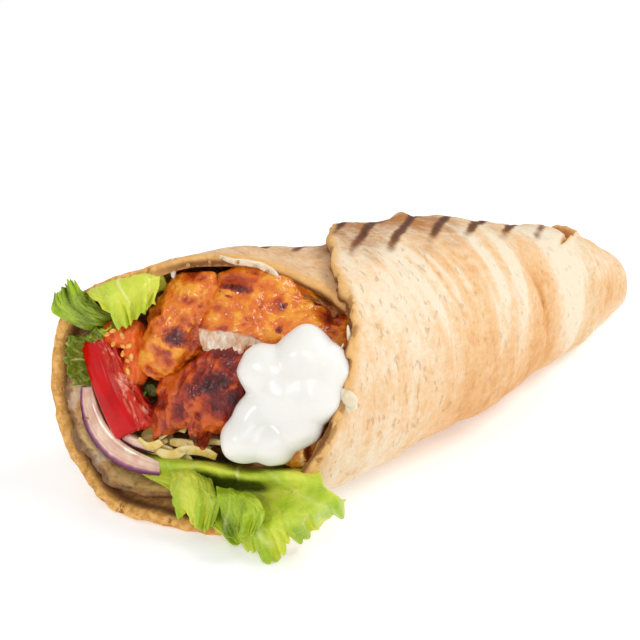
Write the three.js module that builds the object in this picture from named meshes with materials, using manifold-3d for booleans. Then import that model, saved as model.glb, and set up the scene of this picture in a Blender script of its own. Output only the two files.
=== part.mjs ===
// A shawarma wrap: one flatbread rolled about one and a half turns round spiced chicken, tomato,
// red onion, cabbage, lettuce and white garlic sauce. It lies on its side with the open mouth
// towards -X and the folded tail towards +X. Millimetres, +Z up.
//
// The wrap is drawn in its own frame: x runs along the roll from the mouth to the tail, y points to
// the far side and z = 0 is the table. At the end everything is moved so that the origin lies under
// the middle of the whole, on the table.

import * as THREE from 'three';
import { mergeVertices } from 'three/addons/utils/BufferGeometryUtils.js';
import Module from 'manifold-3d';

const wasm = await Module();
wasm.setup();

// ---------------------------------------------------------------- driving sizes

const GAP = 0.4;            // air between neighbouring pieces
const LENGTH = 199;         // from the mouth's middle to the tip of the tail
const BREAD = 3.6;          // thickness of the flatbread
const PLY_GAP = 0.7;        // air between two turns of the roll
const TURN_END = 545;       // degrees of roll in the sheet
const SHEET_END = 166;      // the sheet dies into the folded tail here
const TAIL_START = 150;     // the solid folded tail starts here
const TIP_START = 150;      // the roll rounds off from here to LENGTH

// half width, half height and sideways bend of the roll along its length
const STATIONS = [-40, 0, 50, 100, 140, 165, 182];
const HALF_WIDTH = [40.5, 39.5, 34.5, 32.4, 22.8, 18.2, 15.2];
const HALF_HEIGHT = [40, 37.2, 35, 31, 24, 19.5, 17];
const SIDEWAYS = [4.5, 4.5, 4.2, 7.8, 9.9, 11.2, 14.5];
const TAIL_LIFT = 2.5;       // the folded tail hangs this far above the table at its tip

// where the sheet's rim lies, by the turn in degrees from its inner free edge on top: over the far
// side, under the bottom, up the near side, and over the top again to the outer free edge
const RIM_TURN = [
  0, 30, 60, 75, 90, 105, 120, 150, 180, 210, 240, 255, 270, 300, 330, 360, 390, 420, 450, 480, 545,
];
const RIM_X = [
  44, 40, 34.5, 28, 15, 1, -9, -17.5, -20, -20, -18.5, -14, -7, 5, 13, 26, 35.5, 42.5, 60, 78, 95,
];

// the mouth: a plane across the open end, turned to the near side and tilted up a little
const MOUTH_AT = new THREE.Vector3(8, 4, 36);
const MOUTH_TURN = 27;
const MOUTH_TILT = 14;

const COLOURS = {
  bread: 0xd9b98c, lining: 0xe6d3ac, filling: 0xb5763a, chicken: 0xc8661c, glazed: 0x7d2312, roast: 0xb56a2a,
  tomato: 0xc81a10, pulp: 0xd6461c, onion: 0xc9a2b0, cabbage: 0xdcd79a, lettuce: 0x9bbf2c, pale: 0xbfd36a,
  olive: 0x9a9a35, sauce: 0xf2efe4,
};

// ---------------------------------------------------------------- small tools

const radians = THREE.MathUtils.degToRad;
const clamp = THREE.MathUtils.clamp;

function ease(value, from, to) {
  return THREE.MathUtils.smoothstep(value, from, to);
}

// A smooth curve through values given at rising places, with level-headed slopes and flat ends.
function through(places, values) {
  const last = places.length - 1;
  const slope = places.map((_, i) => {
    const before = Math.max(i - 1, 0);
    const after = Math.min(i + 1, last);
    return (values[after] - values[before]) / (places[after] - places[before]);
  });
  return (place) => {
    const at = clamp(place, places[0], places[last]);
    let i = 0;
    while (i < last - 1 && places[i + 1] <= at) i += 1;
    const step = places[i + 1] - places[i];
    const t = (at - places[i]) / step;
    const rise = t * t * (3 - 2 * t);
    const bend = step * (slope[i] * t * (1 - t) ** 2 - slope[i + 1] * t * t * (1 - t));
    return values[i] * (1 - rise) + values[i + 1] * rise + bend;
  };
}

// Smooth hills and hollows between about -1 and 1, the same every time for the same seed.
function relief(x, y, z, seed) {
  let height = 0;
  for (let k = 0; k < 5; k += 1) {
    const turn = seed * 1.7 + k * 2.4;
    const along = x * Math.sin(turn) + y * Math.cos(turn * 1.3) + z * Math.sin(turn * 0.7 + 1);
    height += Math.sin(along * (1 + 0.35 * k) + seed * (k + 1));
  }
  return height / 3.2;
}

// ---------------------------------------------------------------- closed meshes

class Shell {
  constructor() {
    this.points = [];
    this.faces = [];
  }

  add(point) {
    this.points.push(point.x, point.y, point.z);
    return this.points.length / 3 - 1;
  }

  quad(a, b, c, d) {
    this.faces.push(a, b, c, a, c, d);
  }

  geometry() {
    const result = new THREE.BufferGeometry();
    result.setAttribute('position', new THREE.Float32BufferAttribute(this.points, 3));
    result.setIndex(this.faces);
    return mergeVertices(result, 1e-4);
  }
}

// A thin sheet with two faces, split into triangles alike, that meet along its rounded border.
// face(u, v, side) gives a point of the outer face for side 1 and of the inner one for side -1, at
// the steps us and vs. On the border both faces give the same point.
function sheet(us, vs, face) {
  const shell = new Shell();
  const outer = us.map((u) => vs.map((v) => shell.add(face(u, v, 1))));
  const inner = us.map((u) => vs.map((v) => shell.add(face(u, v, -1))));
  for (let i = 0; i + 1 < us.length; i += 1) {
    for (let j = 0; j + 1 < vs.length; j += 1) {
      shell.quad(outer[i][j], outer[i + 1][j], outer[i + 1][j + 1], outer[i][j + 1]);
      shell.quad(inner[i][j], inner[i][j + 1], inner[i + 1][j + 1], inner[i + 1][j]);
    }
  }
  return solid(shell.geometry());
}

// A closed body through rings of points; ring(s, a) runs once round as a goes from 0 to 1, and each
// end is closed by a fan to its middle.
function loft(stations, count, ring) {
  const shell = new Shell();
  const rows = stations.map((s) => {
    const points = Array.from({ length: count }, (_, i) => ring(s, i / count));
    return { indices: points.map((p) => shell.add(p)), points };
  });
  for (let j = 0; j + 1 < rows.length; j += 1) {
    for (let i = 0; i < count; i += 1) {
      const next = (i + 1) % count;
      const [low, high] = [rows[j].indices, rows[j + 1].indices];
      shell.quad(low[i], low[next], high[next], high[i]);
    }
  }
  for (const end of [0, rows.length - 1]) {
    const { indices, points } = rows[end];
    const middle = points.reduce((sum, p) => sum.add(p), new THREE.Vector3()).divideScalar(count);
    const centre = shell.add(middle);
    for (let i = 0; i < count; i += 1) {
      const [a, b] = [indices[i], indices[(i + 1) % count]];
      if (end === 0) shell.faces.push(centre, b, a);
      else shell.faces.push(centre, a, b);
    }
  }
  return solid(shell.geometry());
}

// Steps from 0 to 1 with count even ones inside, and three more within edge of both ends, which
// follow a rounded border. edge and length are in the same unit.
function steps(count, length, edge) {
  const ends = [0, 0.12, 0.45, 1].map((part) => (part * edge) / length);
  const inside = Array.from({ length: count }, (_, i) => (i + 1) / (count + 1));
  const kept = inside.filter((t) => t > ends[3] * 1.3 && t < 1 - ends[3] * 1.3);
  return [...ends, ...kept, ...ends.map((t) => 1 - t).reverse()];
}

// How thick a rounded border is at a distance from the edge, as a share of the full thickness.
function roundedEdge(distance, radius) {
  const t = clamp(distance / radius, 0, 1);
  return Math.sqrt(Math.max(0, 1 - (1 - t) ** 2));
}

// ---------------------------------------------------------------- cutting and joining

function solid(geometry) {
  const vertProperties = new Float32Array(geometry.attributes.position.array);
  const triVerts = new Uint32Array(geometry.index.array);
  const body = new wasm.Manifold(new wasm.Mesh({ numProp: 3, vertProperties, triVerts }));
  if (body.volume() > 0) return body;
  const turned = triVerts.map((_, i) => triVerts[i - (i % 3) + (2 - (i % 3))]);
  return new wasm.Manifold(new wasm.Mesh({ numProp: 3, vertProperties, triVerts: turned }));
}

function geometryOf(body) {
  const { vertProperties, triVerts } = body.getMesh();
  const result = new THREE.BufferGeometry();
  result.setAttribute('position', new THREE.Float32BufferAttribute(vertProperties, 3));
  result.setIndex([...triVerts]);
  return result;
}

// The same body with every point moved out along its normal, to cut room for a neighbour.
function fattened(body, by) {
  const geometry = geometryOf(body);
  geometry.computeVertexNormals();
  const { position, normal } = geometry.attributes;
  for (let i = 0; i < position.count; i += 1) {
    position.setXYZ(
      i,
      position.getX(i) + by * normal.getX(i),
      position.getY(i) + by * normal.getY(i),
      position.getZ(i) + by * normal.getZ(i),
    );
  }
  return solid(geometry);
}

// The body without its neighbours and the air round them; scraps that come loose are dropped.
function clearOf(body, neighbours) {
  let rest = body;
  for (const neighbour of neighbours) {
    const room = fattened(neighbour, GAP).add(neighbour);
    if (rest.intersect(room).volume() > 0) rest = rest.subtract(room);
  }
  return largest(rest);
}

function largest(body) {
  return body.decompose().sort((a, b) => b.volume() - a.volume())[0];
}

// ---------------------------------------------------------------- the roll's skin

const halfWidth = through(STATIONS, HALF_WIDTH);
const halfHeight = through(STATIONS, HALF_HEIGHT);
const sideways = through(STATIONS, SIDEWAYS);
const rimAt = through(RIM_TURN, RIM_X);
const SQUARENESS = 2.25;    // 2 is a plain oval, more is boxier
const TIP_ROUNDNESS = 2.6;  // the same for the outline of the tail's tip
const LIFT_START = 85;
const SETTLE = 0.95;        // share of the half height at which the middle lies: the bread sags flat
const LONG_RIPPLE = 0.45;   // heights of the bread's two ripples
const SHORT_RIPPLE = 0.3;
const CREASE_DEPTH = 2.2;   // the crease where the tail was folded up, its place and half width
const CREASE_AT = 161;
const CREASE_WIDTH = 3;

// A bell: 1 at the middle, falling off over a width on either side.
function hump(value, middle, width) {
  return Math.exp(-(((value - middle) / width) ** 2));
}

// Share of the full section left at a place along the roll, down to a point at the tip.
function roundingOff(x) {
  const t = clamp((x - TIP_START) / (LENGTH - TIP_START), 0, 1);
  return Math.sqrt(Math.max(0, 1 - t ** TIP_ROUNDNESS));
}

// Low ripples of the bread, and the crease where the tail was folded up, which faces the viewer.
function ripple(x, angle) {
  const a = radians(angle);
  const long = LONG_RIPPLE * Math.sin(0.13 * x + 2 * Math.sin(a));
  const short = SHORT_RIPPLE * Math.sin(0.31 * x - 3 * Math.cos(a) + 1);
  const fold = CREASE_DEPTH * hump(x + 0.1 * angle, CREASE_AT, CREASE_WIDTH) * hump(angle, 20, 55);
  return long + short - fold;
}

// A point at a depth under the skin; the angle turns from the top towards the near side.
function skin(x, angle, depth) {
  const part = roundingOff(x);
  const bend = ((((angle + 180) % 360) + 360) % 360) - 180;
  const inset = depth - ripple(x, bend) * part;
  const wide = Math.max(halfWidth(x) * part - inset, 0.01);
  const high = Math.max(halfHeight(x) * part - inset, 0.01);
  const a = radians(angle);
  const side = Math.sign(Math.sin(a)) * Math.abs(Math.sin(a)) ** (2 / SQUARENESS);
  const up = Math.sign(Math.cos(a)) * Math.abs(Math.cos(a)) ** (2 / SQUARENESS);
  const lift = TAIL_LIFT * ease(x, LIFT_START, LENGTH);
  const z = halfHeight(x) * part * SETTLE + high * up + lift;
  return new THREE.Vector3(x, sideways(x) - wide * side, Math.max(z, depth));
}

// The roll's angle at a turn of the sheet, and how deep the sheet lies there: the first half turn
// runs under the last one, and comes up to the skin in front of the outer free edge.
const START_ANGLE = 75;

function angleAt(turn) {
  return START_ANGLE - turn;
}

function plyDepth(turn, x) {
  const under = 1 - ease(turn, 185, 255);
  const covered = ease(x - rimAt(turn + 360), -35, -8);
  return (BREAD + PLY_GAP) * under * covered;
}

// ---------------------------------------------------------------- flatbread

const SHEET_SINK = 1.2;     // the sheet's end dips this far into the tail, over its last 9 mm
const TAIL_SINK = 1.6;      // and the tail's start lies this far under the sheet's skin

function flatbread() {
  const turns = steps(39, 360, 2.2).map((t) => t * TURN_END);
  const along = steps(9, 170, 2);
  const half = BREAD / 2;
  const face = (turn, t, side) => {
    const length = SHEET_END - rimAt(turn);
    const x = rimAt(turn) + t * length;
    const arc = radians(Math.min(turn, TURN_END - turn)) * halfHeight(x);
    const edge = roundedEdge(Math.min(t * length, (1 - t) * length, arc), half);
    const sunk = SHEET_SINK * ease(x, SHEET_END - 9, SHEET_END);
    return skin(x, angleAt(turn), plyDepth(turn, x) + sunk + half - side * half * edge);
  };
  const rolled = sheet(turns, along, face);
  return largest(rolled.add(foldedTail()));
}

// The tail is folded in on itself: a solid plug of bread that carries the skin on to the tip. Its
// rings come closer together towards the tip, and the last one stops just short of it.
function foldedTail() {
  const count = 10;
  const span = 0.9995 * (LENGTH - TAIL_START);
  const along = Array.from({ length: count + 1 }, (_, i) => {
    return TAIL_START + span * Math.sin((i / count) * (Math.PI / 2));
  });
  const ring = (x, a) => skin(x, 360 * a, TAIL_SINK * (1 - ease(x, TAIL_START + 3, SHEET_END - 1)));
  return loft(along, 34, ring);
}

// The pale inner layer of the bread that has come away inside the far, lower side of the mouth.
// It hangs back from the rim in waves, and further at both ends, and bulges at its free edge.
function lining() {
  const thick = 1.7;
  const [from, to] = [128, 262];      // degrees of roll
  const deep = 62;                    // how far it runs into the roll
  const turns = steps(9, 90, 1).map((t) => from + t * (to - from));
  const along = steps(3, deep, 1);
  const face = (turn, t, side) => {
    const ends = ease(turn, 225, to) + 1 - ease(turn, from, 160);
    const x = rimAt(turn) + 1.5 + 1.2 * Math.sin(turn * 0.09) + 9 * ends + t * deep;
    const arc = radians(Math.min(turn - from, to - turn)) * halfHeight(x);
    const edge = roundedEdge(Math.min(t * deep, (1 - t) * deep, arc), thick);
    const bulge = 1.1 * hump(t * deep, 0, 16);
    const depth = plyDepth(turn, x) + BREAD + 0.6 + bulge + thick / 2;
    return skin(x, angleAt(turn), depth - side * (thick / 2) * edge);
  };
  return sheet(turns, along, face);
}

// ---------------------------------------------------------------- the mouth's own frame

// Places in the mouth are given as [right, up, out]: as seen when looking into it.
const outward = new THREE.Vector3(
  -Math.cos(radians(MOUTH_TURN)) * Math.cos(radians(MOUTH_TILT)),
  -Math.sin(radians(MOUTH_TURN)) * Math.cos(radians(MOUTH_TILT)),
  Math.sin(radians(MOUTH_TILT)),
);
const rightward = new THREE.Vector3(0, 0, 1).cross(outward).normalize();
const upward = outward.clone().cross(rightward);

function inMouth(right, up, out) {
  const across = MOUTH_AT.clone().addScaledVector(rightward, right).addScaledVector(upward, up);
  return across.addScaledVector(outward, out);
}

// ---------------------------------------------------------------- lumps

// A lump with the outline of several balls that melt into each other: from the balls' middle, each
// direction goes out as far as the farthest ball, with relief on top. BLEND is how sharply the balls
// meet: more is sharper.
const BLEND = 8;

function lump(balls, { detail = 3, rough = 0.5, grain = 0.45, seed = 1 } = {}) {
  const centres = balls.map(([right, up, out]) => new THREE.Vector3(right, up, out));
  const middle = centres.reduce((sum, c) => sum.add(c), new THREE.Vector3()).divideScalar(balls.length);
  const ico = new THREE.IcosahedronGeometry(1, detail);
  ico.deleteAttribute('normal');
  ico.deleteAttribute('uv');
  const geometry = mergeVertices(ico, 1e-5);
  const { position } = geometry.attributes;
  const way = new THREE.Vector3();
  for (let i = 0; i < position.count; i += 1) {
    way.fromBufferAttribute(position, i);
    let sum = 0;
    for (let k = 0; k < balls.length; k += 1) {
      const offset = centres[k].clone().sub(middle);
      const across = offset.dot(way);
      const inside = balls[k][3] ** 2 - offset.lengthSq() + across * across;
      const reach = inside > 0 ? across + Math.sqrt(inside) : 0;
      sum += Math.max(reach, 0.5) ** BLEND;
    }
    const reach = sum ** (1 / BLEND);
    const bumps = rough * relief(way.x * reach * grain, way.y * reach * grain, way.z * reach * grain, seed);
    const far = reach + bumps;
    const p = inMouth(middle.x + way.x * far, middle.y + way.y * far, middle.z + way.z * far);
    position.setXYZ(i, p.x, p.y, p.z);
  }
  return solid(geometry);
}

// ---------------------------------------------------------------- leaves

// A leaf is drawn as a net of a few places: rows from its root to its frilled edge, each from left
// to right. Smooth curves through them give the leaf's middle surface.
function netSurface(net) {
  const even = (n) => Array.from({ length: n }, (_, i) => i / (n - 1));
  const rows = net.map((row) => [0, 1, 2].map((axis) => through(even(row.length), row.map((p) => p[axis]))));
  return (s, t) => {
    const place = [0, 1, 2].map((axis) => through(even(net.length), rows.map((row) => row[axis](s)))(t));
    return inMouth(...place);
  };
}

// The leaf swings to and fro along its normals, waves times across, from nothing at start of the way
// down to frill at the edge.
function leaf(net, { across, down, thick = 1, frill = 1.6, waves = 5, start = 0.45, seed = 0 }) {
  const surface = netSurface(net);
  const d = 0.02;             // step for the slopes
  const wavy = (s, t) => {
    const [a, b] = [clamp(s, d, 1 - d), clamp(t, d, 1 - d)];
    const alongS = surface(a + d, b).sub(surface(a - d, b));
    const alongT = surface(a, b + d).sub(surface(a, b - d));
    const normal = alongS.cross(alongT).normalize();
    const grow = ease(t, start, 1);
    const turn = 2 * Math.PI * waves * s;
    const swing = Math.sin(turn + seed) + 0.5 * Math.sin(1.9 * turn + 2 * seed + 3 * t);
    const point = surface(s, t).addScaledVector(normal, frill * grow * swing);
    return { point, normal };
  };
  const width = surface(0, 0.6).distanceTo(surface(1, 0.6));
  const height = surface(0.5, 0).distanceTo(surface(0.5, 1));
  const face = (s, t, side) => {
    const { point, normal } = wavy(s, t);
    const edge = Math.min(s * width, (1 - s) * width, t * height, (1 - t) * height);
    return point.addScaledVector(normal, side * (thick / 2) * roundedEdge(edge, thick / 2));
  };
  return sheet(borderSteps(across, width, thick), borderSteps(down, height, thick), face);
}

// Even steps, with one more just inside each border for its rounding.
function borderSteps(count, length, thick) {
  const inset = (0.5 * thick) / length;
  const even = Array.from({ length: count - 1 }, (_, i) => (i + 1) / count);
  return [0, inset, ...even, 1 - inset, 1];
}

// ---------------------------------------------------------------- strips

// A strip of food along a curve through places in the mouth, with an oval section that tapers at
// both ends. side is the way its flat face looks.
function strip(places, { wide, thick, count = 8, around = 6, side = [0, 0, 1], taper = 0.5 }) {
  const curve = new THREE.CatmullRomCurve3(places.map((p) => inMouth(...p)));
  const look = inMouth(...side).sub(inMouth(0, 0, 0)).normalize();
  const stations = Array.from({ length: count + 1 }, (_, i) => i / count);
  const ring = (s, a) => {
    const t = clamp(s, 0.001, 0.999);
    const along = curve.getTangent(t);
    const across = along.clone().cross(look).normalize();
    const up = across.clone().cross(along).normalize();
    const part = taper + (1 - taper) * Math.sqrt(Math.max(0, Math.sin(Math.PI * clamp(s, 0.02, 0.98))));
    const turn = 2 * Math.PI * a;
    const x = (wide / 2) * part * Math.sign(Math.cos(turn)) * Math.abs(Math.cos(turn)) ** 0.7;
    const y = (thick / 2) * part * Math.sin(turn);
    return curve.getPoint(t).addScaledVector(across, x).addScaledVector(up, y);
  };
  return loft(stations, around, ring);
}

// ---------------------------------------------------------------- fillings

function tomatoWedge() {
  // a long wedge: skin towards the viewer, two cut faces that meet behind
  const spine = new THREE.CatmullRomCurve3([
    inMouth(-37.5, 8.3, 3), inMouth(-32.8, -0.8, 4), inMouth(-27.4, -9.8, 4), inMouth(-22.8, -16.6, 3),
  ]);
  // across and outward, once round from the left
  const section = [
    [-4.6, 0.8], [-3.4, 2.3], [-0.6, 2.8], [2.8, 2.4], [6.2, 0.2], [7.4, -2.6], [6.2, -6.5], [1, -9],
    [-3.6, -5],
  ];
  const stations = [0, 0.03, 0.12, 0.25, 0.4, 0.55, 0.7, 0.85, 0.97, 1];
  const ring = (s, a) => {
    const along = spine.getTangent(s);
    const across = along.clone().cross(outward).negate().normalize();
    const [x, y] = section[Math.round(a * section.length)];
    const grow = (0.78 + 0.34 * s) * (0.86 + 0.14 * roundedEdge(Math.min(s, 1 - s), 0.08));
    return spine.getPoint(s).addScaledVector(across, x * grow).addScaledVector(outward, y * grow);
  };
  return loft(stations, section.length, ring);
}

function tomatoPulp() {
  const balls = [[-30, 11, 1, 4.5], [-26, 11, 1, 4.5], [-24, 6, 0, 4.5], [-25, 1, 0, 4], [-27, 8, -5, 5]];
  return lump(balls, { detail: 2, rough: 0.5, grain: 0.9, seed: 3 });
}

function chickenLeft() {
  const balls = [
    [-15, 22, -1.5, 7.5], [-8, 23.5, -3, 6.3], [-15, 13, -1, 8], [-9, 16, -1, 7.5], [-14, 6, -1, 6.5],
    [-18, 6.5, -1, 5], [-8, 10, -1, 6],
  ];
  return lump(balls, { rough: 1.1, grain: 0.5, seed: 5 });
}

function chickenTop() {
  const balls = [
    [2, 24, -4, 7], [9, 24, -5, 8.3], [17, 22, -8, 8.3], [24, 19.5, -13, 7], [29, 18, -16, 5.5],
    [0, 17, -2, 6.5], [7, 17, -2, 6.5], [13, 17, -4, 6.5], [1, 12, -1, 4.2], [7, 13, -1, 4.5],
  ];
  return lump(balls, { rough: 1.0, grain: 0.5, seed: 8 });
}

function chickenFront() {
  const balls = [
    [-10, -4, 1, 7.5], [0, 2, 3, 8], [7, 5, 2, 6.5], [5, -3, 2, 7], [-6, -10, 1, 6.5], [-14, -10, 0, 6],
    [0, -9, 1, 5.5], [-3, -13, 2, 3.5], [-14, -14, 0, 4.5],
  ];
  return lump(balls, { rough: 1.2, grain: 0.55, seed: 11 });
}

function chickenRight() {
  const balls = [[27, -11.5, -3, 5], [30, -8, -3, 6], [32, -3, -4, 5.5], [31, -12, -3, 5], [34, 1, -5, 4]];
  return lump(balls, { detail: 2, rough: 0.8, grain: 0.6, seed: 14 });
}

function sauce() {
  const balls = [
    [26, 18.3, 1, 4.3], [27, 14, 2, 8.2], [32.3, 11.5, 0, 7], [17.2, 8.7, 5, 7.2], [29, 4, 3, 8],
    [22, 2, 6, 8], [14.5, -3, 7, 5.5], [27, -4.5, 5, 6.5], [21, -10.5, 7, 6.2], [13.8, -10.3, 8, 6.8],
  ];
  return lump(balls, { detail: 4, rough: 0.25, grain: 0.2, seed: 17 });
}

// Two crescents of red onion that lie in each other along the bottom of the mouth.
const OUTER_RING = [
  [-38.6, -6, 2.5], [-37, -11.5, 3], [-33.8, -16.5, 4], [-29.3, -20.5, 4.5], [-24, -23, 5], [-18.5, -24.2, 5],
  [-12.5, -25, 4],
];
const INNER_RING = [[-33.5, -8, 0.5], [-31, -13, 1.5], [-27, -17, 2.5], [-22, -19, 3], [-15.5, -20.4, 2.5]];

function onion(places, wide) {
  return strip(places, { wide, thick: 2.2, count: 10, around: 8, taper: 0.45 });
}

// Shredded cabbage: strips fused to a small core, as one heap.
function cabbage() {
  const balls = [[-17, -19, -5, 3.2], [-10, -19, -5, 3.2], [-4, -18.5, -5, 3]];
  const core = lump(balls, { detail: 2, rough: 0.3, seed: 21 });
  const shreds = [
    [[-25, -17, -1], [-18, -18.5, 1.5], [-10, -18.5, 1], [-3, -18.5, -1]],
    [[-23, -20, -3], [-15, -20.5, 0], [-8, -20, -0.5], [-3, -18, -3]],
    [[-20, -16, -3], [-14, -17, 0], [-6, -16.5, 1], [0, -18, -2]],
    [[-13, -21, -4], [-9, -19, -0.5], [-3, -17, 0], [2, -18, -4]],
  ];
  let heap = core;
  for (const places of shreds) {
    heap = heap.add(strip(places, { wide: 2.4, thick: 1.1, count: 5, around: 4, taper: 0.7 }));
  }
  return largest(heap);
}

// Chopped filling that runs on behind the pieces seen in the mouth, to the folded tail. It lies one
// ply deeper where the bread is double, and deeper in front where the lining is.
function fillingCore() {
  const behind = 9;                   // how far behind the mouth's plane it starts
  const frontRound = 9;               // the rounding of its front and back ends
  const backRound = 5;
  const liningRoom = 2.2;
  const stations = [0, 0.03, 0.1, 0.25, 0.45, 0.65, 0.85, 0.96, 1];
  const end = TAIL_START - 4;
  const ring = (s, a) => {
    const turn = 360 * a;
    const double = Math.max(1 - ease(turn, 185, 255), ease(turn, 318, 352));
    const lined = turn > 120 && turn < 270 ? 1 - ease(s, 0.25, 0.45) : 0;
    const round = frontRound * (1 - roundedEdge(s, 0.1)) + backRound * (1 - roundedEdge(1 - s, 0.05));
    const depth = BREAD + 0.6 + (BREAD + PLY_GAP) * double + liningRoom * lined;
    const start = frontFace(turn, depth + frontRound) + behind;
    return skin(start + s * (end - start), angleAt(turn), depth + round);
  };
  return loft(stations, 22, ring);
}

// Where a line along the roll, at a turn and depth, comes out through the mouth's plane.
function frontFace(turn, depth) {
  const p = skin(MOUTH_AT.x, angleAt(turn), depth).sub(MOUTH_AT);
  return MOUTH_AT.x - (p.y * outward.y + p.z * outward.z) / outward.x;
}

// ---------------------------------------------------------------- lettuce

// over the near, lower rim: it comes forward under the sauce, folds down and frills out
const FRONT_LEAF = [
  [[-19, -26, -12], [-7, -25, -12], [6, -24, -12], [18, -22, -12], [30, -18, -9]],
  [[-16, -24, 3], [-3, -20, 5], [7, -20, 7], [16, -20, 8], [27, -17, 9], [38, -15, 11]],
  [[-7, -29, 3], [1, -29, 3], [9, -28, 3], [18, -26, 4], [28, -22, 9], [40, -17, 13]],
  [[2, -32, 10], [10, -33, 11], [19, -32, 13], [27, -29, 15], [36, -24, 16], [44, -18, 15]],
  [[9, -36, 12], [16, -38, 13], [24, -39, 14], [31, -36, 12], [37, -30, 9], [45, -21, 10]],
];

const LEFT_LOBE = [
  [[-11, -25, 3], [-4, -23, 4], [3, -24, 4]],
  [[-7, -25, 8], [0, -23, 10], [7, -26, 9]],
  [[-6, -29, 11], [3, -28, 14], [10, -28, 12]],
  [[-2, -33, 12], [4, -35, 14], [9, -35, 13]],
];

const MIDDLE_LOBE = [
  [[7, -25, 9], [12, -25, 8], [17, -25, 8]],
  [[10, -26, 14], [16, -25, 13], [22, -25, 13]],
  [[13, -30, 16], [20, -28, 17], [25, -27, 16]],
  [[17, -34, 17], [20, -34, 18], [24, -31, 17]],
];

const TOP_LEAF = [
  [[-31, 17, 1], [-27, 20, 0], [-22, 23, -2], [-18, 25, -4]],
  [[-35, 20, 9], [-29, 23, 10], [-22, 25, 7], [-17, 27, 3]],
  [[-31, 20, 11], [-25, 21, 11], [-20, 22, 9], [-17, 24, 5]],
  [[-27, 17, 9], [-23, 16, 9], [-20, 19, 8], [-18, 22, 6]],
];

const BACK_LEAF = [
  [[-34, 11, -2], [-31, 13, -3], [-28, 15, -5]],
  [[-37, 12, 8], [-34, 15, 8], [-31, 17, 5]],
  [[-44, 16, 12], [-39, 19, 12], [-34, 20, 8]],
  [[-46, 20, 13], [-41, 25, 14], [-36, 23, 9]],
];

const UNDER_LEAF = [
  [[-33, 5, -3], [-30, 8, -4], [-27, 10, -5]],
  [[-36, 7, 4], [-33, 10, 4], [-28, 13, 3]],
  [[-38, 9, 7], [-34, 12, 7.5], [-29, 15, 5.5]],
];

const LEFT_LEAF = [
  [[-32, 5, -7], [-33, 1, -7], [-32, -3, -7]],
  [[-35, 5, -1], [-35.5, 1, -1], [-34.5, -5, -1]],
  [[-38, 5, 4], [-38, 1, 4], [-37, -5, 3]],
];

// ---------------------------------------------------------------- putting it together

const food = new THREE.Group();
const placed = [];

// Adds a piece, cut back where it would touch the pieces that are in place already.
function fit(name, whole, colour, roughness) {
  const body = clearOf(whole, placed);
  const material = new THREE.MeshStandardMaterial({ color: COLOURS[colour], roughness, metalness: 0 });
  const mesh = new THREE.Mesh(geometryOf(body), material);
  mesh.name = name;
  food.add(mesh);
  placed.push(body);
}

fit('flatbread', flatbread(), 'bread', 0.8);
fit('flatbread_lining', lining(), 'lining', 0.85);
fit('lettuce_front', leaf(FRONT_LEAF, { across: 18, down: 10, frill: 1.4, waves: 4 }), 'lettuce', 0.45);
const lobe = { across: 7, down: 5, frill: 0.9, waves: 2 };
fit('lettuce_left_lobe', leaf(LEFT_LOBE, { ...lobe, seed: 2 }), 'lettuce', 0.45);
fit('lettuce_middle_lobe', leaf(MIDDLE_LOBE, { ...lobe, seed: 4 }), 'lettuce', 0.45);
fit('lettuce_top', leaf(TOP_LEAF, { across: 8, down: 5, frill: 0.7, waves: 2, seed: 1 }), 'pale', 0.4);
fit('lettuce_back', leaf(BACK_LEAF, { across: 7, down: 6, frill: 0.8, waves: 2.5, seed: 3 }), 'olive', 0.45);
fit('lettuce_under', leaf(UNDER_LEAF, { across: 7, down: 4, frill: 0.6, waves: 2, seed: 5 }), 'olive', 0.45);
fit('lettuce_left', leaf(LEFT_LEAF, { across: 7, down: 4, frill: 0.5, waves: 2, seed: 6 }), 'olive', 0.5);
fit('tomato_wedge', tomatoWedge(), 'tomato', 0.2);
fit('tomato_pulp', tomatoPulp(), 'pulp', 0.15);
fit('onion_outer', onion(OUTER_RING, 4.6), 'onion', 0.35);
fit('onion_inner', onion(INNER_RING, 2.6), 'onion', 0.35);
fit('cabbage', cabbage(), 'cabbage', 0.5);
fit('chicken_top', chickenTop(), 'chicken', 0.4);
fit('chicken_left', chickenLeft(), 'chicken', 0.4);
fit('chicken_front', chickenFront(), 'glazed', 0.25);
fit('chicken_right', chickenRight(), 'roast', 0.4);
fit('sauce', sauce(), 'sauce', 0.2);
fit('filling_core', fillingCore(), 'filling', 0.5);

const whole = new THREE.Box3().setFromObject(food);
food.position.set(-(whole.min.x + whole.max.x) / 2, -(whole.min.y + whole.max.y) / 2, -whole.min.z);

const wrap = new THREE.Group();
wrap.add(food);

export default wrap;
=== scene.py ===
# A rolled chicken shawarma wrap that lies on its side, its open mouth towards -X and its folded tail
# towards +X. Shapes are worked out in millimetres in the roll's own frame, x along the roll from the
# mouth to the tail, y to the far side and z up from the table, and put in place in metres.
import math

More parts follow.
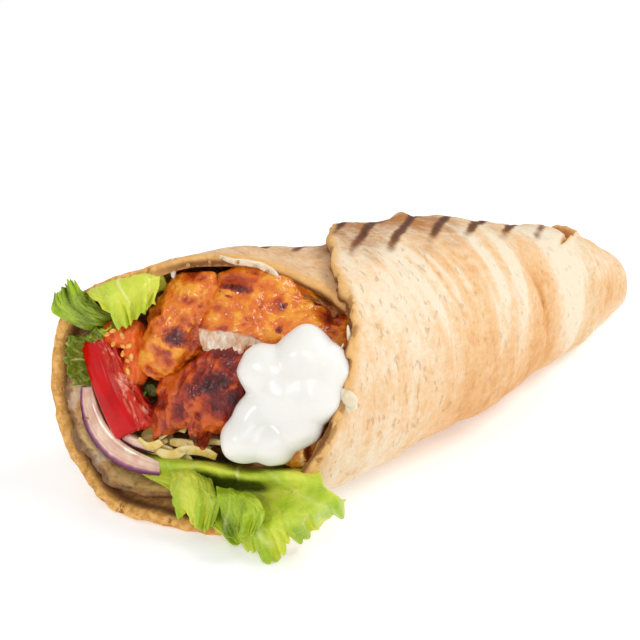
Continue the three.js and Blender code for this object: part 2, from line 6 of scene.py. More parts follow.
import bmesh
import bpy
import numpy as np
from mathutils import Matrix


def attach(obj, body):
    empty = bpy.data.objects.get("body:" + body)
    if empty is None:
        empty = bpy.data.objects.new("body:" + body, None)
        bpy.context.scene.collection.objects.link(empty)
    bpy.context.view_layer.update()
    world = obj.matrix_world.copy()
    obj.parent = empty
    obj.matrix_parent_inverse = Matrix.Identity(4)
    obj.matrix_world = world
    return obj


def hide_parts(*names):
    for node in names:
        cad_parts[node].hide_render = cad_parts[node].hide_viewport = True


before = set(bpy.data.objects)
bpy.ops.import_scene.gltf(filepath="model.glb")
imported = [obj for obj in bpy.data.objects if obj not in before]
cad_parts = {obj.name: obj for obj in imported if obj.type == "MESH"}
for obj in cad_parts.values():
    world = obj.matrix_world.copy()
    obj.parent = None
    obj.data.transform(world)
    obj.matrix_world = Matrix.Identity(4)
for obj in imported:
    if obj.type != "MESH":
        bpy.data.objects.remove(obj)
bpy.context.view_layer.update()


# ---------------------------------------------------------------- flatbread
# One round of thin leavened flatbread, rolled about one and a half turns and folded in at the tail.
# It is dry and floury, cream with tan stretch marks, striped by the griddle and toasted at its rim.
BREAD = 3.6                  # thickness
PLY_GAP = 0.7                # air between two turns of the roll
ROLL_RADIUS = 36.0           # the roll's mean radius, which turns degrees into mm round it
LENGTH = 199.0               # from the mouth's middle to the tail's tip
TURN_END = 545.0             # degrees of roll in the sheet
START_ANGLE = 75.0           # where the sheet starts, from the top towards the near side
TIP_START = 150.0            # the roll rounds off from here on
TAIL_LIFT = 2.5              # how much higher the tail's tip lies than on a straight roll
SQUARENESS = 2.25            # 2 is a plain oval, more is boxier
SETTLE = 0.95                # the bread has sagged flat: share of the half height below the middle
STATIONS = [-40, 0, 50, 100, 140, 165, 182]                  # places along the roll, and at each:
HALF_WIDTH = [40.5, 39.5, 34.5, 32.4, 22.8, 18.2, 15.2]
HALF_HEIGHT = [40, 37.2, 35, 31, 24, 19.5, 17]
SIDEWAYS = [4.5, 4.5, 4.2, 7.8, 9.9, 11.2, 14.5]             # how far its middle lies to the far side
# the rim: degrees of roll, and where along the roll it lies at each
RIM_TURN = [
    0, 30, 60, 75, 90, 105, 120, 150, 180, 210, 240, 255, 270, 300, 330, 360, 390, 420, 450, 480, TURN_END,
]
RIM_X = [44, 40, 34.5, 28, 15, 1, -9, -17.5, -20, -20, -18.5, -14, -7, 5, 13, 26, 35.5, 42.5, 60, 78, 95]
TIP_IN_ROLL = (198.9755, 14.5, 0.0)   # where the tail ends, in the roll's own frame


def through(at, places, values):
    """A smooth curve through values at rising places: between two places a cubic whose slope at each
    is that of the chord between its neighbours; flat beyond both ends."""
    places = np.asarray(places, float)
    values = np.asarray(values, float)
    last = len(places) - 1
    index = np.arange(last + 1)
    before = np.maximum(index - 1, 0)
    after = np.minimum(index + 1, last)
    slope = (values[after] - values[before]) / (places[after] - places[before])
    at = np.clip(at, places[0], places[-1])
    k = np.clip(np.searchsorted(places, at, side="right") - 1, 0, last - 1)
    step = places[k + 1] - places[k]
    t = (at - places[k]) / step
    rise = t * t * (3 - 2 * t)
    bend = step * (slope[k] * t * (1 - t) ** 2 - slope[k + 1] * t * t * (1 - t))
    return values[k] * (1 - rise) + values[k + 1] * rise + bend


def ease(value, start, end):
    """Goes from 0 at start to 1 at end along 3t^2 - 2t^3."""
    t = np.clip((value - start) / (end - start), 0, 1)
    return t * t * (3 - 2 * t)


def hump(value, middle, width):
    """A bell: 1 at the middle, e to the power of minus the square of the distance in widths."""
    return np.exp(-(((value - middle) / width) ** 2))


def lattice(i, j, k, seed):
    """A number from -1 to 1 for each corner of a cubic lattice, the same every time."""
    n = i * 374761393 + j * 668265263 + k * 2147483647 + seed * 1274126177
    n = (n ^ (n >> 13)) * 1274126177
    n = (n ^ (n >> 16)) & 0xFFFF
    return n / 32767.5 - 1


def noise(x, y, z, seed):
    """Smooth noise from -1 to 1 with hills about one unit wide: the numbers at the eight lattice
    corners round a point, mixed by 3t^2 - 2t^3 along each axis."""
    x, y, z = np.broadcast_arrays(x, y, z)
    cell = [np.floor(v).astype(np.int64) for v in (x, y, z)]
    part = [v - c for v, c in zip((x, y, z), cell)]
    part = [t * t * (3 - 2 * t) for t in part]
    total = np.zeros(x.shape)
    for corner in range(8):
        step = [(corner >> axis) & 1 for axis in range(3)]
        weight = np.ones(x.shape)
        for t, s in zip(part, step):
            weight = weight * (t if s else 1 - t)
        total += weight * lattice(cell[0] + step[0], cell[1] + step[1], cell[2] + step[2], seed)
    return total


def layered(x, y, z, seed, layers=4, keep=0.5):
    """Noise in layers: each is twice as fine as the one before and keep times as strong."""
    total = 0
    size = 1.0
    for layer in range(layers):
        total = total + size * noise(x * 2**layer, y * 2**layer, z * 2**layer, seed + layer)
        size *= keep
    return total


def rounding_off(x):
    """Share of the full section left: the square root of 1 - t^2.6 from TIP_START to LENGTH."""
    t = np.clip((x - TIP_START) / (LENGTH - TIP_START), 0, 1)
    return np.sqrt(np.maximum(0, 1 - t**2.6))


def ripple(x, angle):
    """Height of the roll's low ripples, less the crease where the tail was folded up: two sines
    along the roll, and a bell-shaped groove that faces the viewer."""
    a = np.radians(angle)
    waves = 0.45 * np.sin(0.13 * x + 2 * np.sin(a)) + 0.3 * np.sin(0.31 * x - 3 * np.cos(a) + 1)
    return waves - 2.2 * hump(x + 0.1 * angle, 161, 3) * hump(angle, 20, 55)


def skin(x, angle, depth):
    """A point at a depth under the roll's skin: a squared oval of the half width and height at x,
    both less the depth, round a middle that bends sideways; nothing goes below the table."""
    part = rounding_off(x)
    inset = depth - ripple(x, (angle + 180) % 360 - 180) * part
    half_height = through(x, STATIONS, HALF_HEIGHT) * part
    wide = np.maximum(through(x, STATIONS, HALF_WIDTH) * part - inset, 0.01)
    high = np.maximum(half_height - inset, 0.01)
    a = np.radians(angle)
    side = np.sign(np.sin(a)) * np.abs(np.sin(a)) ** (2 / SQUARENESS)
    up = np.sign(np.cos(a)) * np.abs(np.cos(a)) ** (2 / SQUARENESS)
    z = half_height * SETTLE + high * up + TAIL_LIFT * ease(x, 85, LENGTH)
    y = through(x, STATIONS, SIDEWAYS) - wide * side
    return np.stack([x + 0 * z, y, np.maximum(z, depth)], -1)


def rim_at(turn):
    """Where the sheet's rim lies along the roll, at a turn of the roll in degrees."""
    return through(turn, RIM_TURN, RIM_X)


UNCOVERED = (185, 255)       # degrees of roll over which the sheet comes out from under its last turn


def ply_depth(turn, x):
    """How deep the sheet lies: one ply down in its first half turn, where the last turn covers it."""
    covered = ease(x - rim_at(turn + 360), -35, -8)
    return (BREAD + PLY_GAP) * (1 - ease(turn, *UNCOVERED)) * covered


# pale arcs where the sheet was stretched: place on top (mm), mm per degree, half width, strength, and
# the angle round the roll where each is strongest, with its reach
ARCS = [
    (55.5, 0.13, 1.4, 0.4, 34, 20), (61.5, 0.125, 1.9, 1.0, 42, 28), (67.5, 0.12, 1.1, 0.5, 36, 22),
    (73.0, 0.11, 1.3, 0.5, 40, 22), (80.0, 0.08, 1.2, 0.35, 48, 26), (90.5, 0.02, 1.5, 0.35, 56, 26),
    (101.5, -0.08, 2.8, 0.95, 40, 34), (114.5, -0.1, 4.0, 0.85, 46, 40), (126.0, -0.04, 1.4, 0.25, 70, 30),
    (141.0, 0.0, 7.0, 1.0, 60, 62), (70.0, 0.05, 3.0, 0.5, -60, 40), (104.0, -0.05, 4.0, 0.6, -75, 45),
    (138.0, 0.0, 5.0, 0.7, -80, 50),
]
NOTCH_AT = 163.0             # on top; the cut where the tail was folded up runs back down the near side


def arcs(x, angle):
    """Strength of the pale arcs: bells across curves that run round the roll with a slight slant."""
    total = np.zeros(np.broadcast(x, angle).shape)
    for top, slant, wide, strength, middle, reach_round in ARCS:
        wander = 0.8 * noise(angle / 14, x * 0 + top, x * 0, 21)
        arc = hump(x + wander, top + slant * angle, wide)
        total = total + strength * arc * hump(angle, middle, reach_round)
    return total


# single marks: place along the roll and reach, angle round it and reach, and strength
DIMPLES = [(121, 2.0, 50, 14, 0.8), (126, 2.2, 92, 14, 0.6)]
BLISTERS = [(93, 3.0, -17, 5.5, 1.9), (60, 5, -14, 8, 0.8)]
TANNED = [(122, 11, 62, 52, 0.62), (88, 22, 44, 36, 0.45), (168, 13, 85, 25, 0.45), (52, 9, 26, 14, 0.3)]


def marked(x, angle, marks):
    """Strength of single marks: for each a bell along the roll times a bell round it."""
    total = np.zeros(np.broadcast(x, angle).shape)
    for along, reach, middle, reach_round, strength in marks:
        total = total + strength * hump(x, along, reach) * hump(angle, middle, reach_round)
    return total


def wrinkles(x, angle):
    """Fine parallel folds beside the flap: a cosine along the roll, slanted and warped."""
    lean = x - 0.12 * angle
    wave = np.cos(2 * math.pi * (lean + 1.3 * noise(x / 9, angle / 26, 0 * x, 22)) / 3.3)
    return wave * hump(lean, 70, 17) * hump(angle, 36, 24)


def from_notch(x, angle):
    """How far a point lies past the notch along the roll, and how deep the notch is there, 0 to 1."""
    line = NOTCH_AT - 0.7 * np.maximum(angle - 5, 0)
    return x - line, ease(angle, 31, 20) * ease(angle, -40, -20)


def dents(x, angle):
    """Height in mm of what the griddle and the folding did to the skin: soft swells, arcs and fine
    folds, a few dents, the notch at the tail's fold with its raised lip, and blisters on top."""
    bend = (angle + 180) % 360 - 180
    a = np.radians(angle)
    y, z = ROLL_RADIUS * np.sin(a), ROLL_RADIUS * np.cos(a)
    swell = 0.5 * noise(x / 26, y / 26, z / 26, 3) + 0.34 * noise(x / 10, y / 15, z / 15, 4)
    marks = 0.2 * noise(x / 4.2, y / 18, z / 18, 5) + 0.08 * noise(x / 1.8, y / 7, z / 7, 6)
    grain = 0.06 * noise(x / 1.1, y / 1.3, z / 1.3, 7)
    folded = 0.42 * arcs(x, bend) + 0.13 * wrinkles(x, bend)
    crease = 1.0 * hump(x - 0.12 * bend, 112, 2.0) * hump(bend, 80, 28)
    past, deep = from_notch(x, bend)
    notch = 3.4 * hump(past, 0, 1.3) * deep
    lip = 1.7 * hump(past, 3.2, 2.4) * deep
    rough_top = 0.35 * noise(x / 3.5, y / 3.5, z / 3.5, 8) * ease(bend, 12, -4) * ease(bend, -60, -30)
    fade = ease(x, LENGTH - 2, LENGTH - 14)
    fading = swell + marks + grain + folded - crease - marked(x, bend, DIMPLES)
    return fading * fade - notch + lip + marked(x, bend, BLISTERS) + rough_top * fade


def rounded(distance, radius):
    """Share of the full thickness near a rounded border: a quarter circle over the radius."""
    return np.sqrt(np.clip(1 - (1 - np.clip(distance / radius, 0, 1)) ** 2, 0, 1))


def spaced(count, start, end, edge, fine):
    """Places from start to end: steps of fine for edge mm after start, then even ones."""
    near = np.arange(0, edge, fine) / (end - start)
    far = np.linspace(near[-1] + fine / (end - start), 1, count)
    return start + (end - start) * np.concatenate([near, far])


def grid_quads(rows, cols, closed=False):
    """The four corners of every cell of a grid of points numbered row by row; in a closed grid each
    row's last point is joined to its first."""
    i = np.arange(rows - 1)[:, None]
    j = np.arange(cols if closed else cols - 1)[None, :]
    beside = (j + 1) % cols
    corners = [i * cols + j, (i + 1) * cols + j, (i + 1) * cols + beside, i * cols + beside]
    return np.stack(corners, -1).reshape(-1, 4)


bread_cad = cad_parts["flatbread"].data
bread_points = np.empty(len(bread_cad.vertices) * 3, np.float32)
bread_cad.vertices.foreach_get("co", bread_points)
bread_points = bread_points.reshape(-1, 3)
tip_points = bread_points[bread_points[:, 0] > bread_points[:, 0].max() - 1e-5]
shift = np.array([tip_points[:, 0].mean(), tip_points[:, 1].mean(), 0]) - np.array(TIP_IN_ROLL) / 1000


def in_place(points):
    """Millimetres in the roll's own frame to metres in the part's frame."""
    return np.asarray(points, float).reshape(-1, 3) / 1000 + shift


NEAR_TABLE = 0.4             # mm, the height from which a piece is pressed flat
WELD = 1e-6                  # metres, points closer than this become one
NO_TRIS = np.zeros((0, 3), int)


def piece(name, points, quads, material, replaces=(), numbers=None, uv=None, tris=NO_TRIS):
    """Makes a closed, smooth piece that rides on the wrap; what comes near the table is pressed flat
    above it. numbers are values per point that the material reads by name; uv is a place per point
    in mm, kept in metres. Points that lie together become one, and the faces are turned outward."""
    mesh = bpy.data.meshes.new(name)
    points = np.array(points, float).reshape(-1, 3)
    low = points[:, 2] < NEAR_TABLE
    points[low, 2] = NEAR_TABLE * np.exp(np.maximum(points[low, 2] / NEAR_TABLE, -8) - 1)
    points = in_place(points)
    corners = np.concatenate([np.ravel(quads), np.ravel(tris)])
    starts = np.concatenate([np.arange(0, np.size(quads), 4), np.arange(np.size(quads), len(corners), 3)])
    mesh.vertices.add(len(points))
    mesh.vertices.foreach_set("co", points.astype(np.float32).ravel())
    mesh.loops.add(len(corners))
    mesh.loops.foreach_set("vertex_index", corners.astype(np.int32))
    mesh.polygons.add(len(starts))
    mesh.polygons.foreach_set("loop_start", starts.astype(np.int32))
    mesh.update(calc_edges=True)
    for key, values in (numbers or {}).items():
        layer = mesh.attributes.new(key, "FLOAT", "POINT")
        layer.data.foreach_set("value", np.asarray(values, np.float32).ravel())
    if uv is not None:
        layer = mesh.uv_layers.new(name="skin")
        layer.data.foreach_set("uv", (uv.reshape(-1, 2)[corners] / 1000).astype(np.float32).ravel())
    shaped = bmesh.new()
    shaped.from_mesh(mesh)
    bmesh.ops.remove_doubles(shaped, verts=shaped.verts, dist=WELD)
    bmesh.ops.dissolve_degenerate(shaped, edges=shaped.edges, dist=WELD)
    bmesh.ops.recalc_face_normals(shaped, faces=shaped.faces)
    if shaped.calc_volume(signed=True) < 0:
        bmesh.ops.reverse_faces(shaped, faces=shaped.faces)
    shaped.to_mesh(mesh)
    shaped.free()
    mesh.polygons.foreach_set("use_smooth", np.ones(len(mesh.polygons), bool))
    mesh.materials.append(material)
    made = bpy.data.objects.new(name, mesh)
    bpy.context.scene.collection.objects.link(made)
    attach(made, "root")
    if replaces:
        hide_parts(*replaces)


def new_material(name):
    """A material with its tree of nodes and its main shader."""
    material = bpy.data.materials.new(name)
    material.use_nodes = True
    tree = material.node_tree
    return material, tree, tree.nodes["Principled BSDF"]


def feed(tree, made, values):
    """Gives sockets of a node each a number, a colour or a link."""
    for socket, value in values.items():
        if isinstance(value, bpy.types.NodeSocket):
            tree.links.new(value, made.inputs[socket])
        else:
            made.inputs[socket].default_value = value


def node(tree, kind, inputs=None, **settings):
    """Adds a shader node with its settings and inputs."""
    made = tree.nodes.new("ShaderNode" + kind)
    for key, value in settings.items():
        setattr(made, key, value)
    feed(tree, made, inputs or {})
    return made


def own_place(tree):
    """The coordinates of the piece itself."""
    return node(tree, "TexCoord").outputs["Object"]


def on_skin(tree):
    """The place on the piece's own map."""
    return node(tree, "UVMap", uv_map="skin").outputs[0]


def number(tree, key):
    """A value that the piece holds at each point."""
    return node(tree, "Attribute", attribute_name=key).outputs["Fac"]


def stretched(tree, source, scale):
    """The coordinates of a source, scaled per axis."""
    return node(tree, "Mapping", {"Vector": source, "Scale": scale}).outputs[0]


def cloud(tree, vector, scale, detail=3.0, rough=0.55, swirl=0.0):
    """Soft noise from 0 to 1 with the given number of hills per metre."""
    inputs = {"Vector": vector, "Scale": scale, "Detail": detail, "Roughness": rough, "Distortion": swirl}
    return node(tree, "TexNoise", inputs).outputs[0]


def band(tree, value, low, high, to_low=0.0, to_high=1.0):
    """Takes values between low and high smoothly to others, and holds them beyond."""
    inputs = {"Value": value, "From Min": low, "From Max": high, "To Min": to_low, "To Max": to_high}
    return node(tree, "MapRange", inputs, interpolation_type="SMOOTHSTEP").outputs[0]


def maths(tree, work, a, b=0.0):
    """One sum on two values or links."""
    return node(tree, "Math", {0: a, 1: b}, operation=work).outputs[0]


def plus(tree, a, b):
    """The sum of two values."""
    return maths(tree, "ADD", a, b)


def less(tree, a, b):
    """The first value less the second."""
    return maths(tree, "SUBTRACT", a, b)


def times(tree, a, b):
    """The product of two values."""
    return maths(tree, "MULTIPLY", a, b)


def swing(tree, value, gain):
    """A cloud's swing about its middle, times a gain."""
    return times(tree, less(tree, value, 0.5), gain)


def weighed(tree, *parts):
    """The sum of values, each given with its weight."""
    total = times(tree, *parts[0])
    for value, weight in parts[1:]:
        total = plus(tree, total, times(tree, value, weight))
    return total


def colour(red, green, blue):
    """A colour as seen on a screen, 0 to 255, turned to the linear one that shaders take."""
    parts = np.array([red, green, blue]) / 255
    linear = np.where(parts <= 0.04045, parts / 12.92, ((parts + 0.055) / 1.055) ** 2.4)
    return (*linear.tolist(), 1.0)


def blended(tree, share, first, second):
    """Two colours mixed by a share from 0 to 1."""
    mixer = node(tree, "Mix", data_type="RGBA", blend_type="MIX")
    feed(tree, mixer, {0: share, 6: first, 7: second})
    return mixer.outputs[2]


def bumped(tree, height, distance, strength=1.0, under=None):
    """A normal bent by a height, distance metres from its lowest to its highest."""
    inputs = {"Height": height, "Distance": distance, "Strength": strength}
    if under is not None:
        inputs["Normal"] = under
    return node(tree, "Bump", inputs).outputs[0]


def bread_material():
    """Cream skin with tan patches and stretch marks round the roll, griddle stripes on top, a toasted
    rim with dark pits, a paler crumb inside and fine pores."""
    material, tree, shader = new_material("bread")
    place = on_skin(tree)
    spot = own_place(tree)
    along = node(tree, "SeparateXYZ", {0: place}).outputs[0]
    keys = ("rim", "side", "griddle", "stripe", "toast_and_shade", "scorch", "bead", "pale")
    rim, side, griddle, stripe, toast_and_shade, scorch, bead, pale = [number(tree, key) for key in keys]
    body = band(tree, along, 0.186, 0.172)
    bands = cloud(tree, stretched(tree, place, (1, 0.16, 1)), 105, 3, 0.5, 0.9)
    streaks = cloud(tree, stretched(tree, place, (1, 0.2, 1)), 300, 4, 0.6, 0.9)
    fibres = cloud(tree, stretched(tree, place, (1, 0.22, 1)), 1300, 3, 0.6, 0.3)
    blotches = cloud(tree, spot, 120, 4, 0.6, 0.6)
    mottle = cloud(tree, spot, 520, 4, 0.65, 0.3)
    tan = plus(tree, times(tree, swing(tree, bands, 0.9), body), toast_and_shade)
    tan = plus(tree, tan, times(tree, swing(tree, streaks, 0.65), body))
    for part, gain in ((fibres, 0.35), (blotches, 1.0), (mottle, 1.15)):
        tan = plus(tree, tan, swing(tree, part, gain))
    paint = blended(tree, band(tree, tan, -0.25, 0.65), colour(240, 224, 196), colour(236, 192, 140))
    paint = blended(tree, band(tree, tan, 0.45, 1.25), paint, colour(222, 160, 96))
    paint = blended(tree, band(tree, tan, 1.1, 1.9), paint, colour(190, 130, 72))
    dashes = cloud(tree, stretched(tree, place, (1, 0.42, 1)), 560, 2, 0.5, 0.5)
    pits = band(tree, dashes, 0.61, 0.71)
    pitted = times(tree, pits, band(tree, along, 0.1, 0.06, 0.08, 0.42))
    paint = blended(tree, pitted, paint, colour(204, 150, 98))
    flour = band(tree, cloud(tree, spot, 260, 5, 0.7), 0.56, 0.72)
    paint = blended(tree, times(tree, flour, 0.3), paint, colour(243, 230, 210))

    browned = plus(tree, scorch, times(tree, swing(tree, blotches, 2.0), scorch))
    browned = plus(tree, browned, times(tree, swing(tree, mottle, 0.9), scorch))
    paint = blended(tree, band(tree, browned, 0.0, 1.0, 0.0, 0.9), paint, colour(172, 108, 44))
    mark = maths(tree, "PINGPONG", stripe, 0.5)
    mark = plus(tree, mark, swing(tree, cloud(tree, spot, 220, 3), 0.15))
    burnt = times(tree, band(tree, mark, 0.0, 0.25, 1.0, 0.0), griddle)
    burnt = plus(tree, burnt, times(tree, swing(tree, mottle, 0.5), burnt))
    paint = blended(tree, band(tree, burnt, 0.0, 0.6), paint, colour(128, 76, 38))
    paint = blended(tree, band(tree, burnt, 0.4, 1.05), paint, colour(82, 50, 28))

    inside = plus(tree, times(tree, rim, 0.06), swing(tree, mottle, 2.6))
    crumb = blended(tree, band(tree, inside, -0.2, 1.2), colour(170, 112, 42), colour(232, 188, 118))
    crumb = blended(tree, times(tree, pale, 0.75), crumb, colour(244, 200, 128))
    # A dark band on the inner face, about 1.5 to 7 mm from the rim, left out at the free edges.
    from_edge = plus(tree, rim, swing(tree, blotches, 2.5))
    dark_band = times(tree, band(tree, from_edge, 1.4, 2.6), band(tree, from_edge, 7.5, 4.5))
    dark_band = times(tree, dark_band, less(tree, 1.0, maths(tree, "MINIMUM", pale, 1.0)))
    crumb = blended(tree, times(tree, dark_band, 0.85), crumb, colour(78, 34, 8))
    paint = blended(tree, band(tree, side, -0.2, -0.9), paint, crumb)

    edge = plus(tree, rim, swing(tree, blotches, 4.0))
    golden = band(tree, edge, 0.6, 4.2, 0.92, 0.0)
    honey = blended(tree, band(tree, mottle, 0.36, 0.64), colour(238, 186, 110), colour(202, 144, 64))
    honey = blended(tree, times(tree, pale, 0.7), honey, colour(232, 182, 114))
    paint = blended(tree, golden, paint, honey)
    tanned = weighed(tree, (mottle, 0.9), (bead, -0.35))
    at_edge = band(tree, edge, 0.4, 2.6, 1.0, 0.0)
    dark = times(tree, at_edge, band(tree, tanned, 0.58, 0.76, 0.0, 0.8))
    dark = times(tree, dark, less(tree, 1.0, times(tree, pale, 0.35)))
    paint = blended(tree, dark, paint, colour(116, 66, 22))
    # Partly scorch, partly painted shadow: a dark brown line on the underside of the free edges, round the
    # rim and on the inner face.
    lip = plus(tree, rim, swing(tree, mottle, 3.0))
    lip = times(tree, band(tree, lip, 1.5, 0.3, 0.0, 0.9), band(tree, side, 0.5, -0.3))
    paint = blended(tree, times(tree, lip, pale), paint, colour(118, 66, 24))
    feed(tree, shader, {"Base Color": paint})

    pores = cloud(tree, spot, 1500, 4, 0.7)
    rough = weighed(tree, (pores, 0.6), (streaks, 1.1), (mottle, 0.6))
    normal = bumped(tree, rough, 0.0006, 0.6)
    normal = bumped(tree, pits, -0.0006, 0.6, normal)
    feed(tree, shader, {
        "Normal": normal, "Roughness": 0.7, "Specular IOR Level": 0.3, "Subsurface Weight": 0.1,
        "Subsurface Radius": (1.0, 0.6, 0.35), "Subsurface Scale": 0.002,
    })
    return material


STRIPE_TURN = math.radians(36)     # the griddle bars' slant to the roll, seen from above
STRIPE_PITCH = 9.1                 # from bar to bar, mm
STRIPE_FIRST = 34.0                # the first bar's distance from the roll's origin


def griddle_numbers(points, x, angle):
    """What the bread's material reads: stripe is how many bars a point lies past the first, griddle
    how hard it was pressed, scorch the browning between the bars, both along the top, and a tan for
    the rest, taken away where the pale arcs run. That tan is toasting, but low on the near side it
    is partly painted shade as well, and in the notch and along the crease at 112 mm it is painted
    shade."""
    across = points[..., 0] * math.sin(STRIPE_TURN) - points[..., 1] * math.cos(STRIPE_TURN)
    stripe = (across - STRIPE_FIRST) / STRIPE_PITCH
    bend = (angle + 180) % 360 - 180
    ragged = bend + 5 * noise(x / 6, bend / 12, 0 * x, 24)
    near_mouth = ease(x, 54, 44)
    pressed = ease(ragged, 25, -3) * ease(bend, -75, -45) * ease(x, 170, 130) * ease(x, 24, 40)
    pressed = pressed * (1 - near_mouth * ease(bend, -26, -12))
    uneven = bend + 11 * noise(x / 5, bend / 11, 0 * x, 25)
    scorch = ease(uneven, 38, -22) * ease(bend, -85, -50)
    scorch = scorch * (0.35 + 0.65 * ease(x, 128, 84)) * ease(x, 176, 150)
    scorch = scorch * (0.35 + 0.65 * ease(x, 44, 62))
    toast_and_shade = marked(x, bend, TANNED)
    toast_and_shade = toast_and_shade - 0.2 * ease(x, 78, 50) * ease(bend, 60, 30)
    toast_and_shade = toast_and_shade + 0.1 * hump(x, 95, 30) + 0.3 * hump(bend, 92, 24)
    # Partly toasting, partly painted shade: darker tan low on the near side, towards the belly.
    toast_and_shade = toast_and_shade + 0.62 * ease(bend, 84, 122) * ease(x, 38, 80) * ease(x, 168, 140)
    toast_and_shade = toast_and_shade + 0.42 * ease(x, 160, 173) * hump(bend, 20, 75)
    toast_and_shade = toast_and_shade + 0.35 * hump(bend, -70, 45) + 0.1 * hump(x, 96, 34)
    toast_and_shade = toast_and_shade - 1.35 * arcs(x, bend) - 0.2 * wrinkles(x, bend)
    past, deep = from_notch(x, bend)
    # Painted shade: darker tan in the notch's groove and along the crease at 112 mm on the near side.
    toast_and_shade = toast_and_shade + 1.2 * hump(past, 1.6, 1.3) * deep + 1.5 * hump(past, 0, 1.0) * deep
    toast_and_shade = toast_and_shade + 0.9 * hump(x - 0.12 * bend, 112.5, 1.2) * hump(bend, 74, 22)
    return {"stripe": stripe, "griddle": pressed, "toast_and_shade": toast_and_shade, "scorch": scorch}


RIM_REACH = 1.5                    # the rim rounds off over this length
RIM_FADE = 2.2                     # its beads die away along the roll over this one
THIN_END = 0.12                    # share of the thickness left where the sheet begins and ends
END_TURN = 1.8                     # degrees of roll that take finer steps, at both ends of the sheet
SHEET_END = 166.0                  # where the sheet ends inside the tail
END_ROUNDING = 1.8                 # its thickness is rounded off over this length there
turns = np.concatenate(
    [
        np.linspace(0, END_TURN, 5)[:-1],
        np.linspace(END_TURN, TURN_END - END_TURN, 400)[:-1],
        np.linspace(TURN_END - END_TURN, TURN_END, 5),
    ]
)

# across the sheet: steps on each face from the rim at 0 to the sheet's end at 1, and a half circle
# round the rim; for each point how far along, which face from -1 to 1, and how far back in the curve
inner_x = spaced(22, 0, 1, 0.03, 0.01)
outer_x = spaced(110, 0, 1, 0.05, 0.005)
bend_round = np.linspace(-math.pi / 2, math.pi / 2, 11)[1:-1]
reach = np.concatenate([inner_x[::-1], np.zeros(len(bend_round)), outer_x])
lift = np.concatenate([-np.ones(len(inner_x)), np.sin(bend_round), np.ones(len(outer_x))])
back = np.concatenate([np.ones(len(inner_x)), 1 - np.cos(bend_round), np.ones(len(outer_x))])


def bread_sheet():
    """The rolled sheet as one strip that runs from the tail along the inner face, round the rim and
    back along the outer face, for every turn of the roll. A point is the skin at the ply's depth,
    moved out or in by half the thickness, with the dents on the outer face. The rim is drawn up in
    beads, most of all along the free flap, least on the first ply."""
    turn = turns[:, None]
    side = lift[None, :]
    round_mm = np.radians(turn) * ROLL_RADIUS
    rim_x = rim_at(turn)
    arc = np.radians(np.minimum(turn, TURN_END - turn)) * ROLL_RADIUS
    border = np.maximum(rounded(arc, BREAD / 2), THIN_END)
    apart = side * border
    beads = 0.3 + 0.9 * ease(turn, 315, 345) + 0.3 * ease(turn, 190, 230) - 0.1 * ease(turn, 90, 60)
    bead = noise(round_mm / 2.6, 0.6 * apart, 0 * turn, 12)
    bead = bead + 0.4 * noise(round_mm / 1.1, 2.5 * apart, 0 * turn, 17)
    ragged = 0.5 * layered(round_mm / 6.0, apart * 0.5, 0 * turn, 11, 3) + 0.75 * beads * bead
    x = rim_x + RIM_REACH * back[None, :] * (reach[None, :] == 0)
    x = x + reach[None, :] * (SHEET_END - rim_x - RIM_REACH) + RIM_REACH * (reach[None, :] > 0)
    from_rim = x - rim_x
    near_rim = np.exp(-from_rim / RIM_FADE)
    x = x - ragged * near_rim
    swollen = 0.16 * layered(round_mm / 5.0, 3 + 0 * side, 0 * turn, 13, 3) + 0.3 * beads * bead
    half = BREAD / 2 * (1 + near_rim * swollen)
    angle = START_ANGLE - turn
    sunk = 1.6 * ease(x, SHEET_END - 12, SHEET_END)
    outer = 1 - (1 - side) * border * rounded(SHEET_END - x, END_ROUNDING)
    relief = dents(x, angle + 0 * x) * (0.5 + 0.5 * outer) * ease(outer, -1.0, 0.6)
    covered = (1 - ease(turn, *UNCOVERED)) * ease(x - rim_at(turn + 360), -12, -2)
    inner = 0.3 * noise(x / 5, turn / 9, 0 * x + 3, 15) * (1 - outer) / 2 * (1 - near_rim)
    height = relief * (1 - covered) * (1 - 0.6 * near_rim) + inner
    pitted = 0.3 * near_rim * noise(x / 0.9, round_mm / 1.2, 2 * apart, 16)
    depth = ply_depth(turn, x) + sunk + BREAD / 2
    depth = depth - side * half * border * rounded(SHEET_END - x, END_ROUNDING) - height - pitted * apart
    points = skin(x, angle, depth)
    numbers = griddle_numbers(points, x, angle + 0 * x)
    numbers["griddle"] = numbers["griddle"] * ease(side + 0 * x, 0.0, 0.7) * (1 - 0.8 * covered)
    browned_rim = np.exp(-from_rim / 7) * ease(turn, 90, 120) * ease(turn, 330, 300)
    numbers["toast_and_shade"] = numbers["toast_and_shade"] + 0.5 * ease(turn, 130, 90)
    numbers["toast_and_shade"] = numbers["toast_and_shade"] + 0.9 * browned_rim + 0.35 * np.exp(-from_rim / 5)
    free_edge = ease(turn, 300, 330) + ease(turn, 112, 92)
    numbers.update(rim=from_rim, side=side + 0 * x, bead=bead * beads + 0 * x, pale=free_edge + 0 * x)
    uv = np.stack([x, round_mm + 0 * x], -1)
    return points, uv, numbers


def sheet_ends(rows, cols):
    """Faces that close the thin start and end of the sheet: a fan round the rim's curve, then
    triangles between the inner and outer run, each edge joined to the other run's last point so far."""
    inner = len(inner_x) - 1 - np.arange(len(inner_x))
    curve = len(inner_x) + np.arange(len(bend_round) + 1)
    outer = len(inner_x) + len(bend_round) + np.arange(len(outer_x))
    passed = np.maximum(np.searchsorted(inner_x, outer_x[1:], "left") - 1, 0)
    reached = np.searchsorted(outer_x, inner_x[1:], "right") - 1
    first = np.concatenate([curve[:-1], outer[:-1], inner[:-1]])
    second = np.concatenate([curve[1:], outer[1:], inner[1:]])
    third = np.concatenate([0 * curve[1:] + inner[0], inner[passed], outer[reached]])
    one_end = np.stack([first, second, third], -1)
    return np.concatenate([one_end, one_end + (rows - 1) * cols])


TAIL_FROM = 148.0                  # the tail starts here, under the sheet
NEARLY_ALL = 0.9997                # its last ring stays just short of the tip, so it is a ring still


